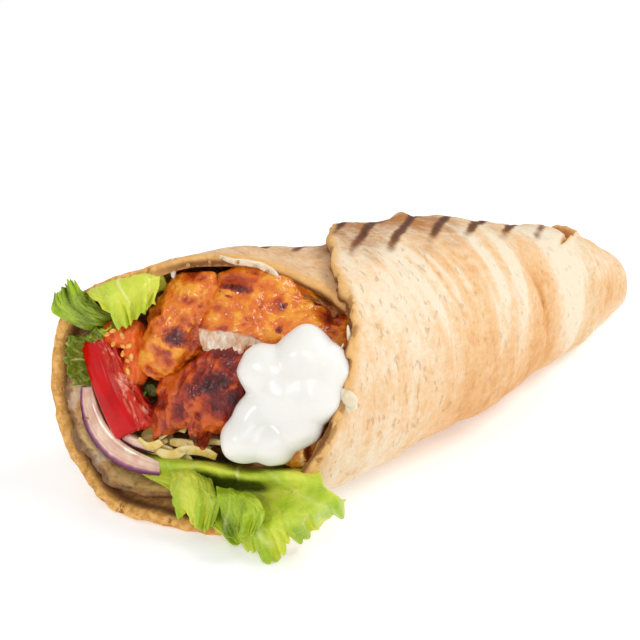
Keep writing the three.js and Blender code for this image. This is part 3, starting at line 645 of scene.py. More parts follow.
def bread_tail():
    """The folded tail: rings of skin points from just under the sheet to the tip, closer and closer
    by the sine of an angle."""
    along = TAIL_FROM + (LENGTH - TAIL_FROM) * np.sin(np.linspace(0, 1, 90) * math.pi / 2) * NEARLY_ALL
    turn = np.linspace(TURN_END - 360, TURN_END, 241)[None, :]
    angle = START_ANGLE - turn
    x = along[:, None] + 0 * angle
    angle = angle + 0 * x
    depth = 1.7 * (1 - ease(x, 150, 158)) - dents(x, angle) * ease(LENGTH - x, 0, 9)
    points = skin(x, angle, depth + 0.3 * ease(LENGTH - x, 12, 0))
    numbers = griddle_numbers(points, x, angle)
    numbers.update(rim=60 + 0 * x, side=1 + 0 * x, bead=0 * x, pale=0 * x)
    uv = np.stack([x, np.radians(turn) * ROLL_RADIUS + 0 * x], -1)
    return points, uv, numbers


bread = bread_material()
sheet_points, sheet_uv, sheet_numbers = bread_sheet()
tail_points, tail_uv, tail_numbers = bread_tail()
rows, cols = sheet_points.shape[:2]
sheet_quads = grid_quads(rows, cols)
tail_rows, tail_cols = tail_points.shape[:2]
tail_quads = grid_quads(tail_rows, tail_cols) + rows * cols
ends = []
for row, centre in ((0, 0), (tail_rows - 1, 1)):
    middle = rows * cols + tail_rows * tail_cols + centre
    first = rows * cols + row * tail_cols + np.arange(tail_cols)
    second = rows * cols + row * tail_cols + (np.arange(tail_cols) + 1) % tail_cols
    ends.append(np.stack([first, second, 0 * first + middle], -1))
middles = np.stack([tail_points[0].mean(0), tail_points[-1].mean(0)])


def all_numbers(key):
    """A value per point of the sheet, the tail and the tail's two middles, in that order."""
    ends_of_tail = [tail_numbers[key][0].mean(), tail_numbers[key][-1].mean()]
    return np.concatenate([sheet_numbers[key].ravel(), tail_numbers[key].ravel(), ends_of_tail])


bread_all = np.concatenate([sheet_points.reshape(-1, 3), tail_points.reshape(-1, 3), middles])
bread_uv = np.concatenate([sheet_uv.reshape(-1, 2), tail_uv.reshape(-1, 2), tail_uv[0, :1], tail_uv[-1, :1]])
piece(
    "bread",
    bread_all,
    np.concatenate([sheet_quads, tail_quads]),
    bread,
    ["flatbread"],
    {key: all_numbers(key) for key in sheet_numbers},
    bread_uv,
    np.concatenate([sheet_ends(rows, cols), *ends]),
)


# ---------------------------------------------------------------- lining
# The pale inner layer of the flatbread, which has come away from the outer one inside the mouth's far
# and lower side. It is moist crumb, darker where it is soaked, its browns partly painted shade of the
# mouth's inside, and a dark band is painted on the bread behind it.
LINING_FROM, LINING_TO = 128.0, 262.0     # degrees of roll
LINING_DEEP = 62.0                        # how far it reaches into the roll, mm
LINING_THICK = 1.7
LINING_GAP = 0.6                          # air between it and the bread
THINNEST = 0.05                           # least share of the thickness, away from the border


def sheet_profile(count, edge, fine):
    """Steps for one strip that runs along one face from the far border to the near one, round it and
    back along the other: how far along from 0 to 1, and which side from -1 to 1."""
    out = spaced(count, 0, 1, edge, fine)
    return np.concatenate([out[::-1], out]), np.concatenate([-np.ones(len(out)), np.ones(len(out))])


def blunted(grid):
    """Moves each corner of a grid of points onto its neighbour along the row, so that no corner of a
    thin sheet is left flat between its two faces."""
    grid[0, 0], grid[0, -1] = grid[0, 1], grid[0, -2]
    grid[-1, 0], grid[-1, -1] = grid[-1, 1], grid[-1, -2]
    return grid


def lining_sheet():
    """A sheet under the bread's inner face, set back from the rim in waves; its middle lies the
    bread's thickness and a small bulge below the skin, and both faces are crumpled."""
    turn = np.linspace(LINING_FROM, LINING_TO, 300)[:, None]
    t, side = [v[None, :] for v in sheet_profile(60, 0.1, 0.006)]
    ends = ease(turn, 225, LINING_TO) + 1 - ease(turn, LINING_FROM, 160)
    arc_mm = np.radians(turn) * ROLL_RADIUS
    free = np.exp(-t * LINING_DEEP / 4)
    ragged = 1.3 * layered(arc_mm / 6, 0 * arc_mm, 0 * arc_mm, 31, 3) + 0.4 * noise(arc_mm / 1.7, 0, 0, 32)
    from_rim = 1.5 + 1.2 * np.sin(turn * 0.09) + 9 * ends + t * LINING_DEEP
    x = rim_at(turn) + from_rim - ragged * free
    arc = np.radians(np.minimum(turn - LINING_FROM, LINING_TO - turn)) * ROLL_RADIUS
    border = np.minimum(np.minimum(t * LINING_DEEP, (1 - t) * LINING_DEEP), arc)
    bulge = (1.0 + 0.7 * noise(arc_mm / 9, 0, 0, 34)) * hump(t * LINING_DEEP, 0, 16)
    crumple = 0.45 * layered(x / 7, arc_mm / 7, 0 * x, 33, 4) + 0.12 * noise(x / 1.4, arc_mm / 1.4, 0 * x, 35)
    depth = ply_depth(turn, x) + BREAD + LINING_GAP + bulge + LINING_THICK / 2 - crumple * 0.6
    thickness = np.maximum(rounded(border, LINING_THICK), THINNEST * (border > 0))
    depth = depth - side * LINING_THICK / 2 * thickness
    points = skin(x, START_ANGLE - turn, depth)
    half = points.shape[1] // 2
    points = np.concatenate([blunted(points[:, :half]), blunted(points[:, half:])], 1)
    return points, {"rim": t * LINING_DEEP + 0 * x}


def lining_material():
    """Cream crumb with pinkish patches, stained brown in spots and along its free edge, wet with
    sauce, with soft pores. Its browns are partly painted shade of the mouth's inside."""
    material, tree, shader = new_material("lining")
    spot = own_place(tree)
    patches = cloud(tree, spot, 150, 4, 0.6, 0.6)
    fine = cloud(tree, spot, 620, 4, 0.65, 0.3)
    mixed = weighed(tree, (patches, 0.75), (fine, 0.3))
    # Partly painted shade: these cream and brown tones stand in part for the shade inside the mouth.
    paint = blended(tree, band(tree, mixed, 0.42, 0.64), colour(232, 194, 132), colour(190, 138, 70))
    paint = blended(tree, band(tree, mixed, 0.6, 0.74), paint, colour(108, 58, 14))
    sauced = band(tree, cloud(tree, spot, 95, 3, 0.5, 0.8), 0.56, 0.66)
    paint = blended(tree, times(tree, sauced, 0.5), paint, colour(240, 226, 200))
    stain = plus(tree, number(tree, "rim"), swing(tree, patches, 7.0))
    paint = blended(tree, band(tree, stain, 0.2, 2.2, 0.85, 0.0), paint, colour(96, 46, 10))
    feed(tree, shader, {
        "Base Color": paint, "Normal": bumped(tree, fine, 0.0008, 0.6), "Roughness": 0.45,
        "Subsurface Weight": 0.2, "Subsurface Radius": (1.0, 0.7, 0.4), "Subsurface Scale": 0.002,
    })
    return material


lining_points, lining_numbers = lining_sheet()
piece(
    "lining",
    lining_points,
    grid_quads(*lining_points.shape[:2]),
    lining_material(),
    ["flatbread_lining"],
    lining_numbers,
)


# ---------------------------------------------------------------- chopped filling
# Chopped chicken and salad, soaked in sauce, that fills the roll behind the pieces seen in the mouth.
# Only its craggy front shows, deep between them.
MOUTH_AT = np.array([8.0, 4.0, 36.0])                             # its middle, in the roll's frame
MOUTH_TURN, MOUTH_TILT = math.radians(27), math.radians(14)       # it looks to the near side and up
level = math.cos(MOUTH_TILT)
outward = np.array([-math.cos(MOUTH_TURN) * level, -math.sin(MOUTH_TURN) * level, math.sin(MOUTH_TILT)])
rightward = np.cross([0.0, 0.0, 1.0], outward)
rightward = rightward / np.linalg.norm(rightward)
upward = np.cross(outward, rightward)


def in_mouth(places):
    """[right, up, out] places, as seen looking into the mouth, to the roll's own frame."""
    return MOUTH_AT + np.asarray(places, float) @ np.stack([rightward, upward, outward])


def front_face(turn, depth):
    """Where a line along the roll, at a turn and depth, comes out through the mouth's plane."""
    off = skin(MOUTH_AT[0] + 0 * turn, START_ANGLE - turn, depth) - MOUTH_AT
    return MOUTH_AT[0] - (off[..., 1] * outward[1] + off[..., 2] * outward[2]) / outward[0]


CORE_BEHIND = 9.0            # from the mouth's plane back to the front
CORE_RADIUS = 30.0
FAN_RINGS = 30


def core_body():
    """Rings of skin points, one ply deeper where the bread is double, from behind the mouth's plane
    to the tail, with a rounded front; craggy relief is taken off all round."""
    turn = np.linspace(0, 360, 180, endpoint=False)[None, :]
    s = np.concatenate([np.linspace(0, 0.1, 24)[:-1], np.linspace(0.1, 1, 60)])[:, None]
    cover = np.maximum(1 - ease(turn, *UNCOVERED), ease(turn, 318, 352))
    curve = CORE_BEHIND * (1 - rounded(s, 0.1)) + 5 * (1 - rounded(1 - s, 0.05))
    lined = ease(turn, 110, 125) * ease(turn, 275, 262) * (1 - ease(s, 0.25, 0.45))
    depth = BREAD + 0.7 + (BREAD + PLY_GAP) * cover + 2.2 * lined
    start = front_face(turn, depth + CORE_BEHIND) + CORE_BEHIND
    x = start + s * (TIP_START - 4 - start)
    crags = 0.7 * (1 + layered(x / 5, np.radians(turn) * CORE_RADIUS / 5, 0 * x, 41, 4))
    return skin(x, START_ANGLE - turn, depth + curve + crags)


def face_fan(points):
    """Closes the first ring of a body with rings that shrink to its middle, and so its last one."""
    first, last = points[0], points[-1]
    shares = np.linspace(0, 1, FAN_RINGS)[:, None, None]
    front = first.mean(0) + (first - first.mean(0)) * shares
    back = last.mean(0) + (last - last.mean(0)) * shares[::-1]
    return np.concatenate([front[:-1], points, back[1:]])


def moist_material(name, light, dark, deep, hills=180, gloss=0.35):
    """Moist food: three colours in clouds, with hills of them per metre, and fine grain. gloss is its
    roughness."""
    material, tree, shader = new_material(name)
    spot = own_place(tree)
    large = cloud(tree, spot, hills, 4, 0.6, 0.8)
    small = cloud(tree, spot, hills * 4, 4, 0.65, 0.5)
    paint = blended(tree, band(tree, large, 0.38, 0.62), light, dark)
    paint = blended(tree, band(tree, small, 0.5, 0.72), paint, deep)
    feed(tree, shader, {
        "Base Color": paint, "Normal": bumped(tree, small, 0.0008, 0.8), "Roughness": gloss,
        "Subsurface Weight": 0.2, "Subsurface Scale": 0.002,
    })
    return material


core_points = core_body()
core_front = face_fan(core_points)
core_face = core_front[: FAN_RINGS - 1]
face_crags = layered(*np.moveaxis(core_face, -1, 0) / 6, 43, 4)
core_face -= outward * (1.5 * face_crags[..., None] + 1.5)
piece(
    "chopped_filling",
    core_front,
    grid_quads(*core_front.shape[:2], closed=True),
    moist_material("chopped", colour(206, 142, 78), colour(150, 78, 34), colour(92, 44, 20)),
    ["filling_core"],
)


# ---------------------------------------------------------------- lettuce
# Crisp leaves that come out over the rim: one large leaf with two small lobes at the front, four
# smaller ones at the back and left. Each is thin and glossy, softly folded, and frilled at its edge.
FRONT_LEAF = [
    [[-26, -22, -12], [-10, -25, -12], [6, -24, -12], [18, -22, -12], [30, -18, -9]],
    [[-25, -25.5, 1], [-6, -21.5, 5], [7, -20, 7], [16, -20, 8], [27, -17, 9], [38, -15, 11]],
    [[-14, -30, 2], [-1, -29, 3], [9, -28, 3], [18, -26, 4], [28, -22, 9], [40, -17, 13]],
    [[2, -32, 10], [10, -33, 11], [19, -32, 13], [27, -29, 15], [36, -24, 16], [44, -18, 15]],
    [[9, -36, 12], [16, -38, 13], [24, -39, 14], [31, -36, 12], [37, -30, 9], [45, -21, 10]],
]
LEFT_LOBE = [
    [[-11, -25, 3], [-4, -23, 4], [3, -24, 4]],
    [[-7, -25, 8], [0, -23, 10], [7, -26, 9]],
    [[-6, -29, 11], [3, -28, 14], [10, -28, 12]],
    [[-2, -33, 12], [4, -35, 14], [9, -35, 13]],
]
MIDDLE_LOBE = [
    [[7, -25, 9], [12, -25, 8], [17, -25, 8]],
    [[10, -26, 14], [16, -25, 13], [22, -25, 13]],
    [[13, -30, 16], [20, -28, 17], [25, -27, 16]],
    [[17, -34, 17], [20, -34, 18], [24, -31, 17]],
]
TOP_LEAF = [
    [[-31, 17, 1], [-27, 20, 0], [-22, 23, -2], [-18, 25, -4]],
    [[-36.5, 22.5, 8], [-31, 26, 9], [-24, 29, 5], [-18, 30, 1]],
    [[-33.5, 21.5, 11], [-27, 23.5, 11], [-21, 24.5, 8], [-17, 26.5, 4]],
    [[-28, 17.5, 9], [-24, 15.5, 9], [-20, 19, 8], [-17.5, 23, 6]],
]
BACK_LEAF = [
    [[-34, 11, -2], [-31, 13, -3], [-28, 15, -5]],
    [[-37, 12, 8], [-34, 15, 8], [-31, 17, 5]],
    [[-44, 16, 12], [-39, 19, 12], [-34, 20, 8]],
    [[-46, 20, 13], [-41, 25, 14], [-36, 23, 9]],
]
UNDER_LEAF = [
    [[-33, 5, -3], [-30, 8, -4], [-27, 10, -5]],
    [[-36, 7, 4], [-33, 10, 4], [-28, 13, 3]],
    [[-38, 9, 7], [-34, 12, 7.5], [-29, 15, 5.5]],
]
LEFT_LEAF = [
    [[-33, 7, -4], [-34, 1, -4], [-33, -6, -4]],
    [[-37.5, 9, 3], [-38, 2, 3], [-36.5, -5, 3]],
    [[-41, 10, 9.5], [-41.5, 2.5, 10], [-39.5, -4.5, 8.5]],
]


def spline(places, t):
    """A smooth curve through places at t from 0 to 1, the places even in t: each coordinate goes
    through its values by the cubic of through."""
    places = np.asarray(places, float)
    even = np.linspace(0, 1, len(places))
    return np.stack([through(t, even, places[:, a]) for a in range(places.shape[1])], -1)


def net_surface(net, s, t):
    """A smooth surface through a net of places: a curve through each row at s, then curves through
    the rows' points at t. Both are even from 0 to 1."""
    curves = np.stack([spline(row, s) for row in net])
    flat = curves.reshape(len(net), -1)
    return in_mouth(spline(flat, t).reshape(len(t), len(s), 3))


def grid_normals(points):
    """Unit normals of a grid of points, from the slopes along its rows and columns."""
    along = np.gradient(points, axis=1)
    down = np.gradient(points, axis=0)
    normal = np.cross(along, down)
    return normal / np.maximum(np.linalg.norm(normal, axis=-1, keepdims=True), 1e-9)


LEAF = 0.45                  # thickness
THIN_BORDER = 0.1            # share of it that is left next to the border, where both faces meet


def leaf(name, net, node_name, size, frill, waves, seed, start=0.45, ragged=0.05, ribs=5, shade=0, hollow=0):
    """A leaf on a net: it swings along its normals more and more towards its edge, with finer frills
    on top; the blade puffs up softly between a few low ribs, and the edge is toothed. Both faces lie
    half the thickness from the middle surface and meet along the border. Its green is painted deeper
    where the frills sink and paler where they rise, which is painted shade in its folds; shade is
    added to that, so above nought it paints the whole leaf paler and below nought deeper. hollow is
    how dark the painted shade in the hollow under the leaf's ridge is."""
    count_s, count_t = size
    s, t = np.linspace(0, 1, count_s), np.linspace(0, 1, count_t)
    middle = net_surface(net, s, t)
    normal = grid_normals(middle)
    ss, tt = np.meshgrid(s, t)
    turn = 2 * math.pi * waves * ss
    grow = ease(tt, start, 1)
    swing = np.sin(turn + seed) + 0.5 * np.sin(1.9 * turn + 2 * seed + 3 * tt)
    curls = 0.6 * np.sin(3.7 * turn + 1.3 * seed + 5 * tt) + 0.5 * noise(ss * 22, tt * 6, 0 * ss, seed + 50)
    fine = ease(tt, 0.7, 1) * curls
    fan = (ss - 0.5) / (0.25 + 0.75 * tt)
    rib = np.zeros_like(ss)
    for k in np.linspace(-0.5, 0.5, ribs):
        bend = k + 0.05 * np.sin(7 * tt + 9 * k + seed)
        rib = np.maximum(rib, hump(fan, bend, 0.03 * (1.25 - 0.75 * tt)) * (0.4 + 0.6 * (k == 0)))
    rib = rib * ease(tt, 1.0, 0.75)
    puff = 0.7 * layered(ss * 5, tt * 4, 0 * ss, seed + 54, 2)
    puff = puff + 0.26 * noise(ss * 20, tt * 16, 0 * ss, seed + 55)
    height = frill * grow * swing + 0.6 * frill * fine + puff * (0.4 + 0.6 * tt) - 0.3 * rib
    teeth = layered(ss * 9, 0 * ss, 0 * ss, seed + 56, 2)
    teeth = teeth + 0.5 * np.abs(np.sin(math.pi * waves * 4.3 * ss + seed))
    away = tt**4 * ragged * teeth
    down = np.gradient(middle, axis=0) * (count_t - 1)
    middle = middle + height[..., None] * normal + away[..., None] * down
    normal = grid_normals(middle)
    middle = blunted(middle)
    steps_s = np.linalg.norm(np.gradient(middle, axis=1), axis=-1)
    steps_t = np.linalg.norm(np.gradient(middle, axis=0), axis=-1)
    near_s = np.minimum(np.arange(count_s), np.arange(count_s)[::-1])[None, :] * steps_s
    near_t = np.minimum(np.arange(count_t), np.arange(count_t)[::-1])[:, None] * steps_t
    within = np.pad(np.ones((count_t - 2, count_s - 2)), 1)
    share = np.maximum(rounded(np.minimum(near_s, near_t), LEAF), THIN_BORDER * within)
    part = (LEAF / 2 * share)[..., None]
    faces = np.concatenate([(middle + normal * part).reshape(-1, 3), (middle - normal * part).reshape(-1, 3)])
    quads = grid_quads(count_t, count_s)
    both = np.concatenate([quads, quads[:, ::-1] + count_s * count_t])
    # Painted shade: a dark band across the middle of the leaf, in the hollow under its ridge.
    hollow_shade = hollow * hump(tt, 0.4, 0.11) * ease(ss, 0.1, 0.3) * ease(ss, 0.85, 0.6)
    values = {"rib": rib, "leaf_shading": height / frill + shade, "hollow": hollow_shade}
    numbers = {key: np.tile(value.ravel(), 2) for key, value in values.items()}
    uv = np.stack([ss * 50, tt * 40], -1).reshape(-1, 2)
    piece(name, faces, both, lettuce, [node_name], numbers, np.concatenate([uv, uv]))


def lettuce_material():
    """Bright yellow-green blade, painted deeper green in its folds and dark green in its hollow as
    shade, with pale ribs and a faint net of veins, a waxy shine and light coming through."""
    material, tree, shader = new_material("lettuce")
    place = on_skin(tree)
    spot = own_place(tree)
    rib, leaf_shading, hollow = [number(tree, key) for key in ("rib", "leaf_shading", "hollow")]
    patches = cloud(tree, spot, 90, 3, 0.5, 0.4)
    # Painted shade: the green deepens where the frills sink and, by the leaf's shade setting, over the whole
    # leaf.
    green = weighed(tree, (patches, 1.0), (leaf_shading, -0.17))
    paint = blended(tree, band(tree, green, 0.3, 0.75), colour(212, 222, 70), colour(158, 186, 22))
    paint = blended(tree, band(tree, green, 0.7, 1.0), paint, colour(102, 122, 8))
    rays = cloud(tree, stretched(tree, place, (1, 0.08, 1)), 700, 3, 0.5, 0.3)
    paint = blended(tree, band(tree, rays, 0.5, 0.7, 0.0, 0.16), paint, colour(222, 228, 116))
    veins = node(tree, "TexVoronoi", {"Vector": place, "Scale": 300.0}, feature="DISTANCE_TO_EDGE")
    vein = band(tree, veins.outputs["Distance"], 0.0, 0.09, 1.0, 0.0)
    paint = blended(tree, times(tree, vein, 0.16), paint, colour(226, 232, 140))
    paint = blended(tree, times(tree, rib, 0.6), paint, colour(228, 232, 150))
    # Painted shade: the hollow under the ridge is painted dark green.
    deep = plus(tree, hollow, swing(tree, patches, 0.8))
    shade_in_hollow = maths(tree, "MINIMUM", times(tree, hollow, 3.0), 1.0)
    deep = times(tree, band(tree, deep, 0.2, 0.9), shade_in_hollow)
    paint = blended(tree, deep, paint, colour(52, 66, 2))
    relief = plus(tree, times(tree, vein, -0.4), cloud(tree, spot, 420, 3))
    feed(tree, shader, {
        "Base Color": paint, "Normal": bumped(tree, relief, 0.0005, 0.5), "Roughness": 0.32,
        "Specular IOR Level": 0.35, "Coat Weight": 0.12, "Coat Roughness": 0.15,
        "Subsurface Weight": 0.4, "Subsurface Radius": (0.7, 1.0, 0.15),
        "Subsurface Scale": 0.0015,
    })
    return material


lettuce = lettuce_material()
leaf(
    "front_leaf", FRONT_LEAF, "lettuce_front", (250, 170), frill=1.7, waves=4, seed=0,
    start=0.55, ragged=0.08, ribs=3, hollow=1.0,
)
leaf(
    "left_lobe", LEFT_LOBE, "lettuce_left_lobe", (120, 110), frill=1.5, waves=2.4, seed=2,
    ragged=0.09, ribs=2,
)
leaf(
    "middle_lobe", MIDDLE_LOBE, "lettuce_middle_lobe", (120, 110), frill=1.4, waves=2.3, seed=4,
    ragged=0.09, ribs=2, shade=-0.8,
)
leaf(
    "top_leaf", TOP_LEAF, "lettuce_top", (140, 130), frill=1.8, waves=2.2, seed=1,
    ribs=3, shade=0.5,
)
leaf(
    "back_leaf", BACK_LEAF, "lettuce_back", (100, 110), frill=0.9, waves=2.5, seed=3,
    ragged=0.14, shade=-2.6,
)
leaf("under_leaf", UNDER_LEAF, "lettuce_under", (80, 70), frill=0.6, waves=2, seed=5, shade=-3.2)
leaf("left_leaf", LEFT_LEAF, "lettuce_left", (80, 70), frill=0.5, waves=2, seed=6, shade=-3.4)


# ---------------------------------------------------------------- tomato
# A wedge of ripe tomato at the left, its flat skin to the front and its wet, streaky flesh beside it,
# and the loose jelly with seeds that has slid out above it.
WEDGE_SPINE = [(-37.5, 8.3, 3), (-32.8, -0.8, 4), (-27.4, -9.8, 4), (-22.8, -16.6, 3)]
WEDGE_SECTION = [
    (-4.6, 0.8), (-3.4, 2.3), (-0.6, 2.8), (2.8, 2.4), (6.2, 0.2), (7.4, -2.6), (6.2, -6.5), (1, -9),
    (-3.6, -5),
]
SKIN_ENDS = 0.36             # share of the way round the section where the skin gives way to flesh


def tomato_wedge():
    """The wedge's section, smoothed between its corners, carried along a bent spine, with rounded
    ends; the flesh side has streaky relief and is cut a little hollow."""
    fine = np.linspace(0, 0.05, 14)
    s = np.concatenate([fine[:-1], np.linspace(0.05, 0.95, 110)[:-1], np.linspace(0.95, 1, 14)])
    spine = in_mouth(spline(WEDGE_SPINE, s))
    along = np.gradient(spine, axis=0)
    along /= np.linalg.norm(along, axis=-1, keepdims=True)
    across = -np.cross(along, outward)
    across /= np.linalg.norm(across, axis=-1, keepdims=True)
    section = np.array(WEDGE_SECTION + WEDGE_SECTION[:1], float)
    a = np.linspace(0, 1, 180, endpoint=False)
    corner = a * (len(section) - 1)
    low = corner.astype(int)
    part = (corner - low)[:, None]
    ring = section[low] * (1 - part) + section[low + 1] * part
    smooth = sum(np.roll(ring, k, 0) for k in range(-4, 5)) / 9
    flesh = ease(a, SKIN_ENDS - 0.01, SKIN_ENDS + 0.02) * ease(a, 0.99, 0.95)
    grow = (0.78 + 0.34 * s) * (0.72 + 0.28 * rounded(np.minimum(s, 1 - s), 0.05))
    sideways = smooth[None, :, :1] * across[:, None, :] + smooth[None, :, 1:] * outward
    points = spine[:, None, :] + grow[:, None, None] * sideways
    ss = s[:, None] + 0 * a
    hollow = flesh * (0.5 * hump(a, 0.5, 0.09) + 0.4 * layered(ss * 7, a * 30 + 0 * ss, 0 * ss, 61, 4))
    waves = (1 - flesh) * 0.16 * noise(ss * 4, a * 7 + 0 * ss, 0 * ss, 62)
    normal = grid_normals(points)
    points = points - normal * (hollow + waves)[..., None]
    return points, {"flesh": flesh + 0 * ss}


def with_ends(points, numbers):
    """Adds the middle of the first and the last ring as rings of their own, which weld to points."""
    first = np.broadcast_to(points[0].mean(0), points[0].shape)
    last = np.broadcast_to(points[-1].mean(0), points[-1].shape)
    closed = {key: np.concatenate([value[:1], value, value[-1:]]) for key, value in numbers.items()}
    return np.concatenate([first[None], points, last[None]]), closed


def tomato_material(name, light, dark, pale, clear):
    """Deep red glossy skin; the flesh is wet and goes from dark to light and pale in streaks. clear
    is how much light comes through."""
    material, tree, shader = new_material(name)
    spot = own_place(tree)
    flesh = number(tree, "flesh")
    spread = cloud(tree, spot, 110, 3, 0.5, 0.4)
    skin_paint = blended(tree, band(tree, spread, 0.35, 0.7), colour(208, 4, 2), colour(180, 0, 0))
    streaks = cloud(tree, stretched(tree, spot, (1, 0.4, 0.32)), 480, 4, 0.62, 1.4)
    broad = cloud(tree, spot, 170, 3, 0.5, 0.8)
    mixed = weighed(tree, (streaks, 0.7), (broad, 0.4))
    flesh_paint = blended(tree, band(tree, mixed, 0.38, 0.56), dark, light)
    flesh_paint = blended(tree, band(tree, mixed, 0.56, 0.72), flesh_paint, pale)
    relief = times(tree, streaks, flesh)
    feed(tree, shader, {
        "Base Color": blended(tree, flesh, skin_paint, flesh_paint),
        "Normal": bumped(tree, relief, 0.0009, 0.6), "Roughness": 0.2, "Specular IOR Level": 0.25,
        "Coat Weight": 0.12, "Coat Roughness": 0.05, "Subsurface Weight": clear,
        "Subsurface Radius": (1.0, 0.25, 0.1), "Subsurface Scale": 0.002,
    })
    return material


tomato = tomato_material("tomato", colour(206, 46, 20), colour(158, 4, 2), colour(244, 180, 156), 0.15)
pulp_paint = tomato_material(
    "tomato_jelly", colour(226, 96, 20), colour(158, 26, 2), colour(240, 132, 60), 0.45
)
wedge_points, wedge_numbers = with_ends(*tomato_wedge())
piece(
    "tomato_slice",
    wedge_points,
    grid_quads(*wedge_points.shape[:2], closed=True),
    tomato,
    ["tomato_wedge"],
    wedge_numbers,
)


def ball_ways(count):
    """Directions all round: the squares of a cube's six faces pushed out on to a ball, count steps
    along each edge, and the four corners of every cell."""
    step = np.tan(np.linspace(-1, 1, count + 1) * math.pi / 4)
    a, b = np.meshgrid(step, step, indexing="ij")
    one = np.ones_like(a)
    sides = [(one, a, b), (-one, b, a), (b, one, a), (a, -one, b), (a, b, one), (b, a, -one)]
    ways = np.concatenate([np.stack(side, -1).reshape(-1, 3) for side in sides])
    ways /= np.linalg.norm(ways, axis=-1, keepdims=True)
    size = (count + 1) ** 2
    quads = np.concatenate([grid_quads(count + 1, count + 1) + size * k for k in range(6)])
    return ways, quads


MELT = 8                     # the higher, the sharper the dips between the balls of a lump


def lump(balls, count):
    """A lump of several balls that melt together: from their middle each way goes out by the MELT-th
    root of the sum of the MELT-th powers of how far each ball reaches. Gives the middle, the ways,
    the quads and the distances."""
    balls = np.asarray(balls, float)
    middle = balls[:, :3].mean(0)
    ways, quads = ball_ways(count)
    offset = balls[:, :3] - middle
    across = ways @ offset.T
    inside = balls[:, 3] ** 2 - (offset**2).sum(-1) + across**2
    reach = np.where(inside > 0, across + np.sqrt(np.maximum(inside, 0)), 0)
    far = (np.maximum(reach, 0.5) ** MELT).sum(-1) ** (1 / MELT)
    return middle, ways, quads, far


PULP_BALLS = [[-30, 11, 1, 4.5], [-26, 11, 1, 4.5], [-24, 6, 0, 4.5], [-25, 1, 0, 4], [-27, 8, -5, 5]]
pulp_middle, pulp_ways, pulp_quads, pulp_far = lump(PULP_BALLS, count=60)
pulp_places = pulp_middle + pulp_ways * pulp_far[:, None]
pulp_wet = 0.9 * layered(*pulp_places.T / 4.0, 63, 2) + 0.35 * np.abs(noise(*pulp_places.T / 1.8, 65))
piece(
    "tomato_jelly",
    in_mouth(pulp_middle + pulp_ways * (pulp_far + pulp_wet)[:, None]),
    pulp_quads,
    pulp_paint,
    ["tomato_pulp"],
    {"flesh": 1 + 0 * pulp_far},
)

# seeds: right and up in the mouth, and turn in degrees
SEEDS = [
    (-29.3, 12.6, 20), (-26.2, 11.6, -50), (-27.1, 5.9, 70), (-25.2, 4.2, 10), (-28.2, 3.6, -30),
    (-24.3, 9.0, 40), (-26.4, 8.4, -10), (-29.6, 8.6, 60), (-23.6, 5.8, 90), (-25.0, 1.2, -60),
    (-27.6, 14.2, 80), (-31.4, 11.2, 30),
]
SEED_SIZE = (2.3, 1.4, 0.9)


def drops(middles, size, turns, count=8):
    """Small flattened drops: a ball stretched to its length, width and height, and turned in the
    mouth's plane."""
    ways, quads = ball_ways(count)
    middles = np.asarray(middles, float)
    turns = np.radians(turns)[:, None]
    right, up, out = np.moveaxis(ways * (np.array(size) / 2), -1, 0)
    c, s = np.cos(turns), np.sin(turns)
    turned = np.stack([right * c - up * s, right * s + up * c, out + 0 * c], -1)
    points = (turned + middles[:, None, :]).reshape(-1, 3)
    every = (quads[None] + len(ways) * np.arange(len(middles))[:, None, None]).reshape(-1, 4)
    return points, every


def on_lump(middle, ways, far, right, up):
    """How far out a lump's front lies at a place in the mouth's plane: the point nearest to it among
    those that face outward."""
    points = middle + ways * far[:, None]
    gap = (points[:, 0] - right) ** 2 + (points[:, 1] - up) ** 2 + 100 * (ways[:, 2] < 0)
    return points[np.argmin(gap), 2]


seed_middles = [
    (right, up, on_lump(pulp_middle, pulp_ways, pulp_far + pulp_wet, right, up) + 0.1)
    for right, up, turn in SEEDS
]
seed_points, seed_quads = drops(seed_middles, SEED_SIZE, [turn for right, up, turn in SEEDS])
seed_paint, seed_tree, seed_shader = new_material("tomato_seed")
seed_cloud = cloud(seed_tree, own_place(seed_tree), 900, 3, 0.5)
seed_share = band(seed_tree, seed_cloud, 0.35, 0.65)
seed_mix = blended(seed_tree, seed_share, colour(244, 186, 84), colour(222, 138, 40))
feed(seed_tree, seed_shader, {
    "Base Color": seed_mix, "Roughness": 0.2, "Coat Weight": 0.6, "Coat Roughness": 0.08,
})
piece("tomato_seeds", in_mouth(seed_points), seed_quads, seed_paint)


# ---------------------------------------------------------------- onion
# A wide curved slice of red onion along the bottom of the mouth, and the next layer of it inside:
# translucent pinkish flesh with a purple skin along the outer edge.
ONION = 1.9                  # thickness
OUTER_RING = [
    (-38.6, -6, 2.5), (-37, -11.5, 3), (-33.8, -16.5, 4), (-29.3, -20.5, 4.5), (-24, -23, 5),
    (-18.5, -24.2, 5), (-12.5, -25, 4),
]
INNER_RING = [(-33.5, -8, 0.5), (-31, -13, 1.5), (-27, -17, 2.5), (-22, -19, 3), (-15.5, -20.4, 2.5)]


STRIP_SQUARENESS = 0.7       # 1 is an oval section, less is boxier


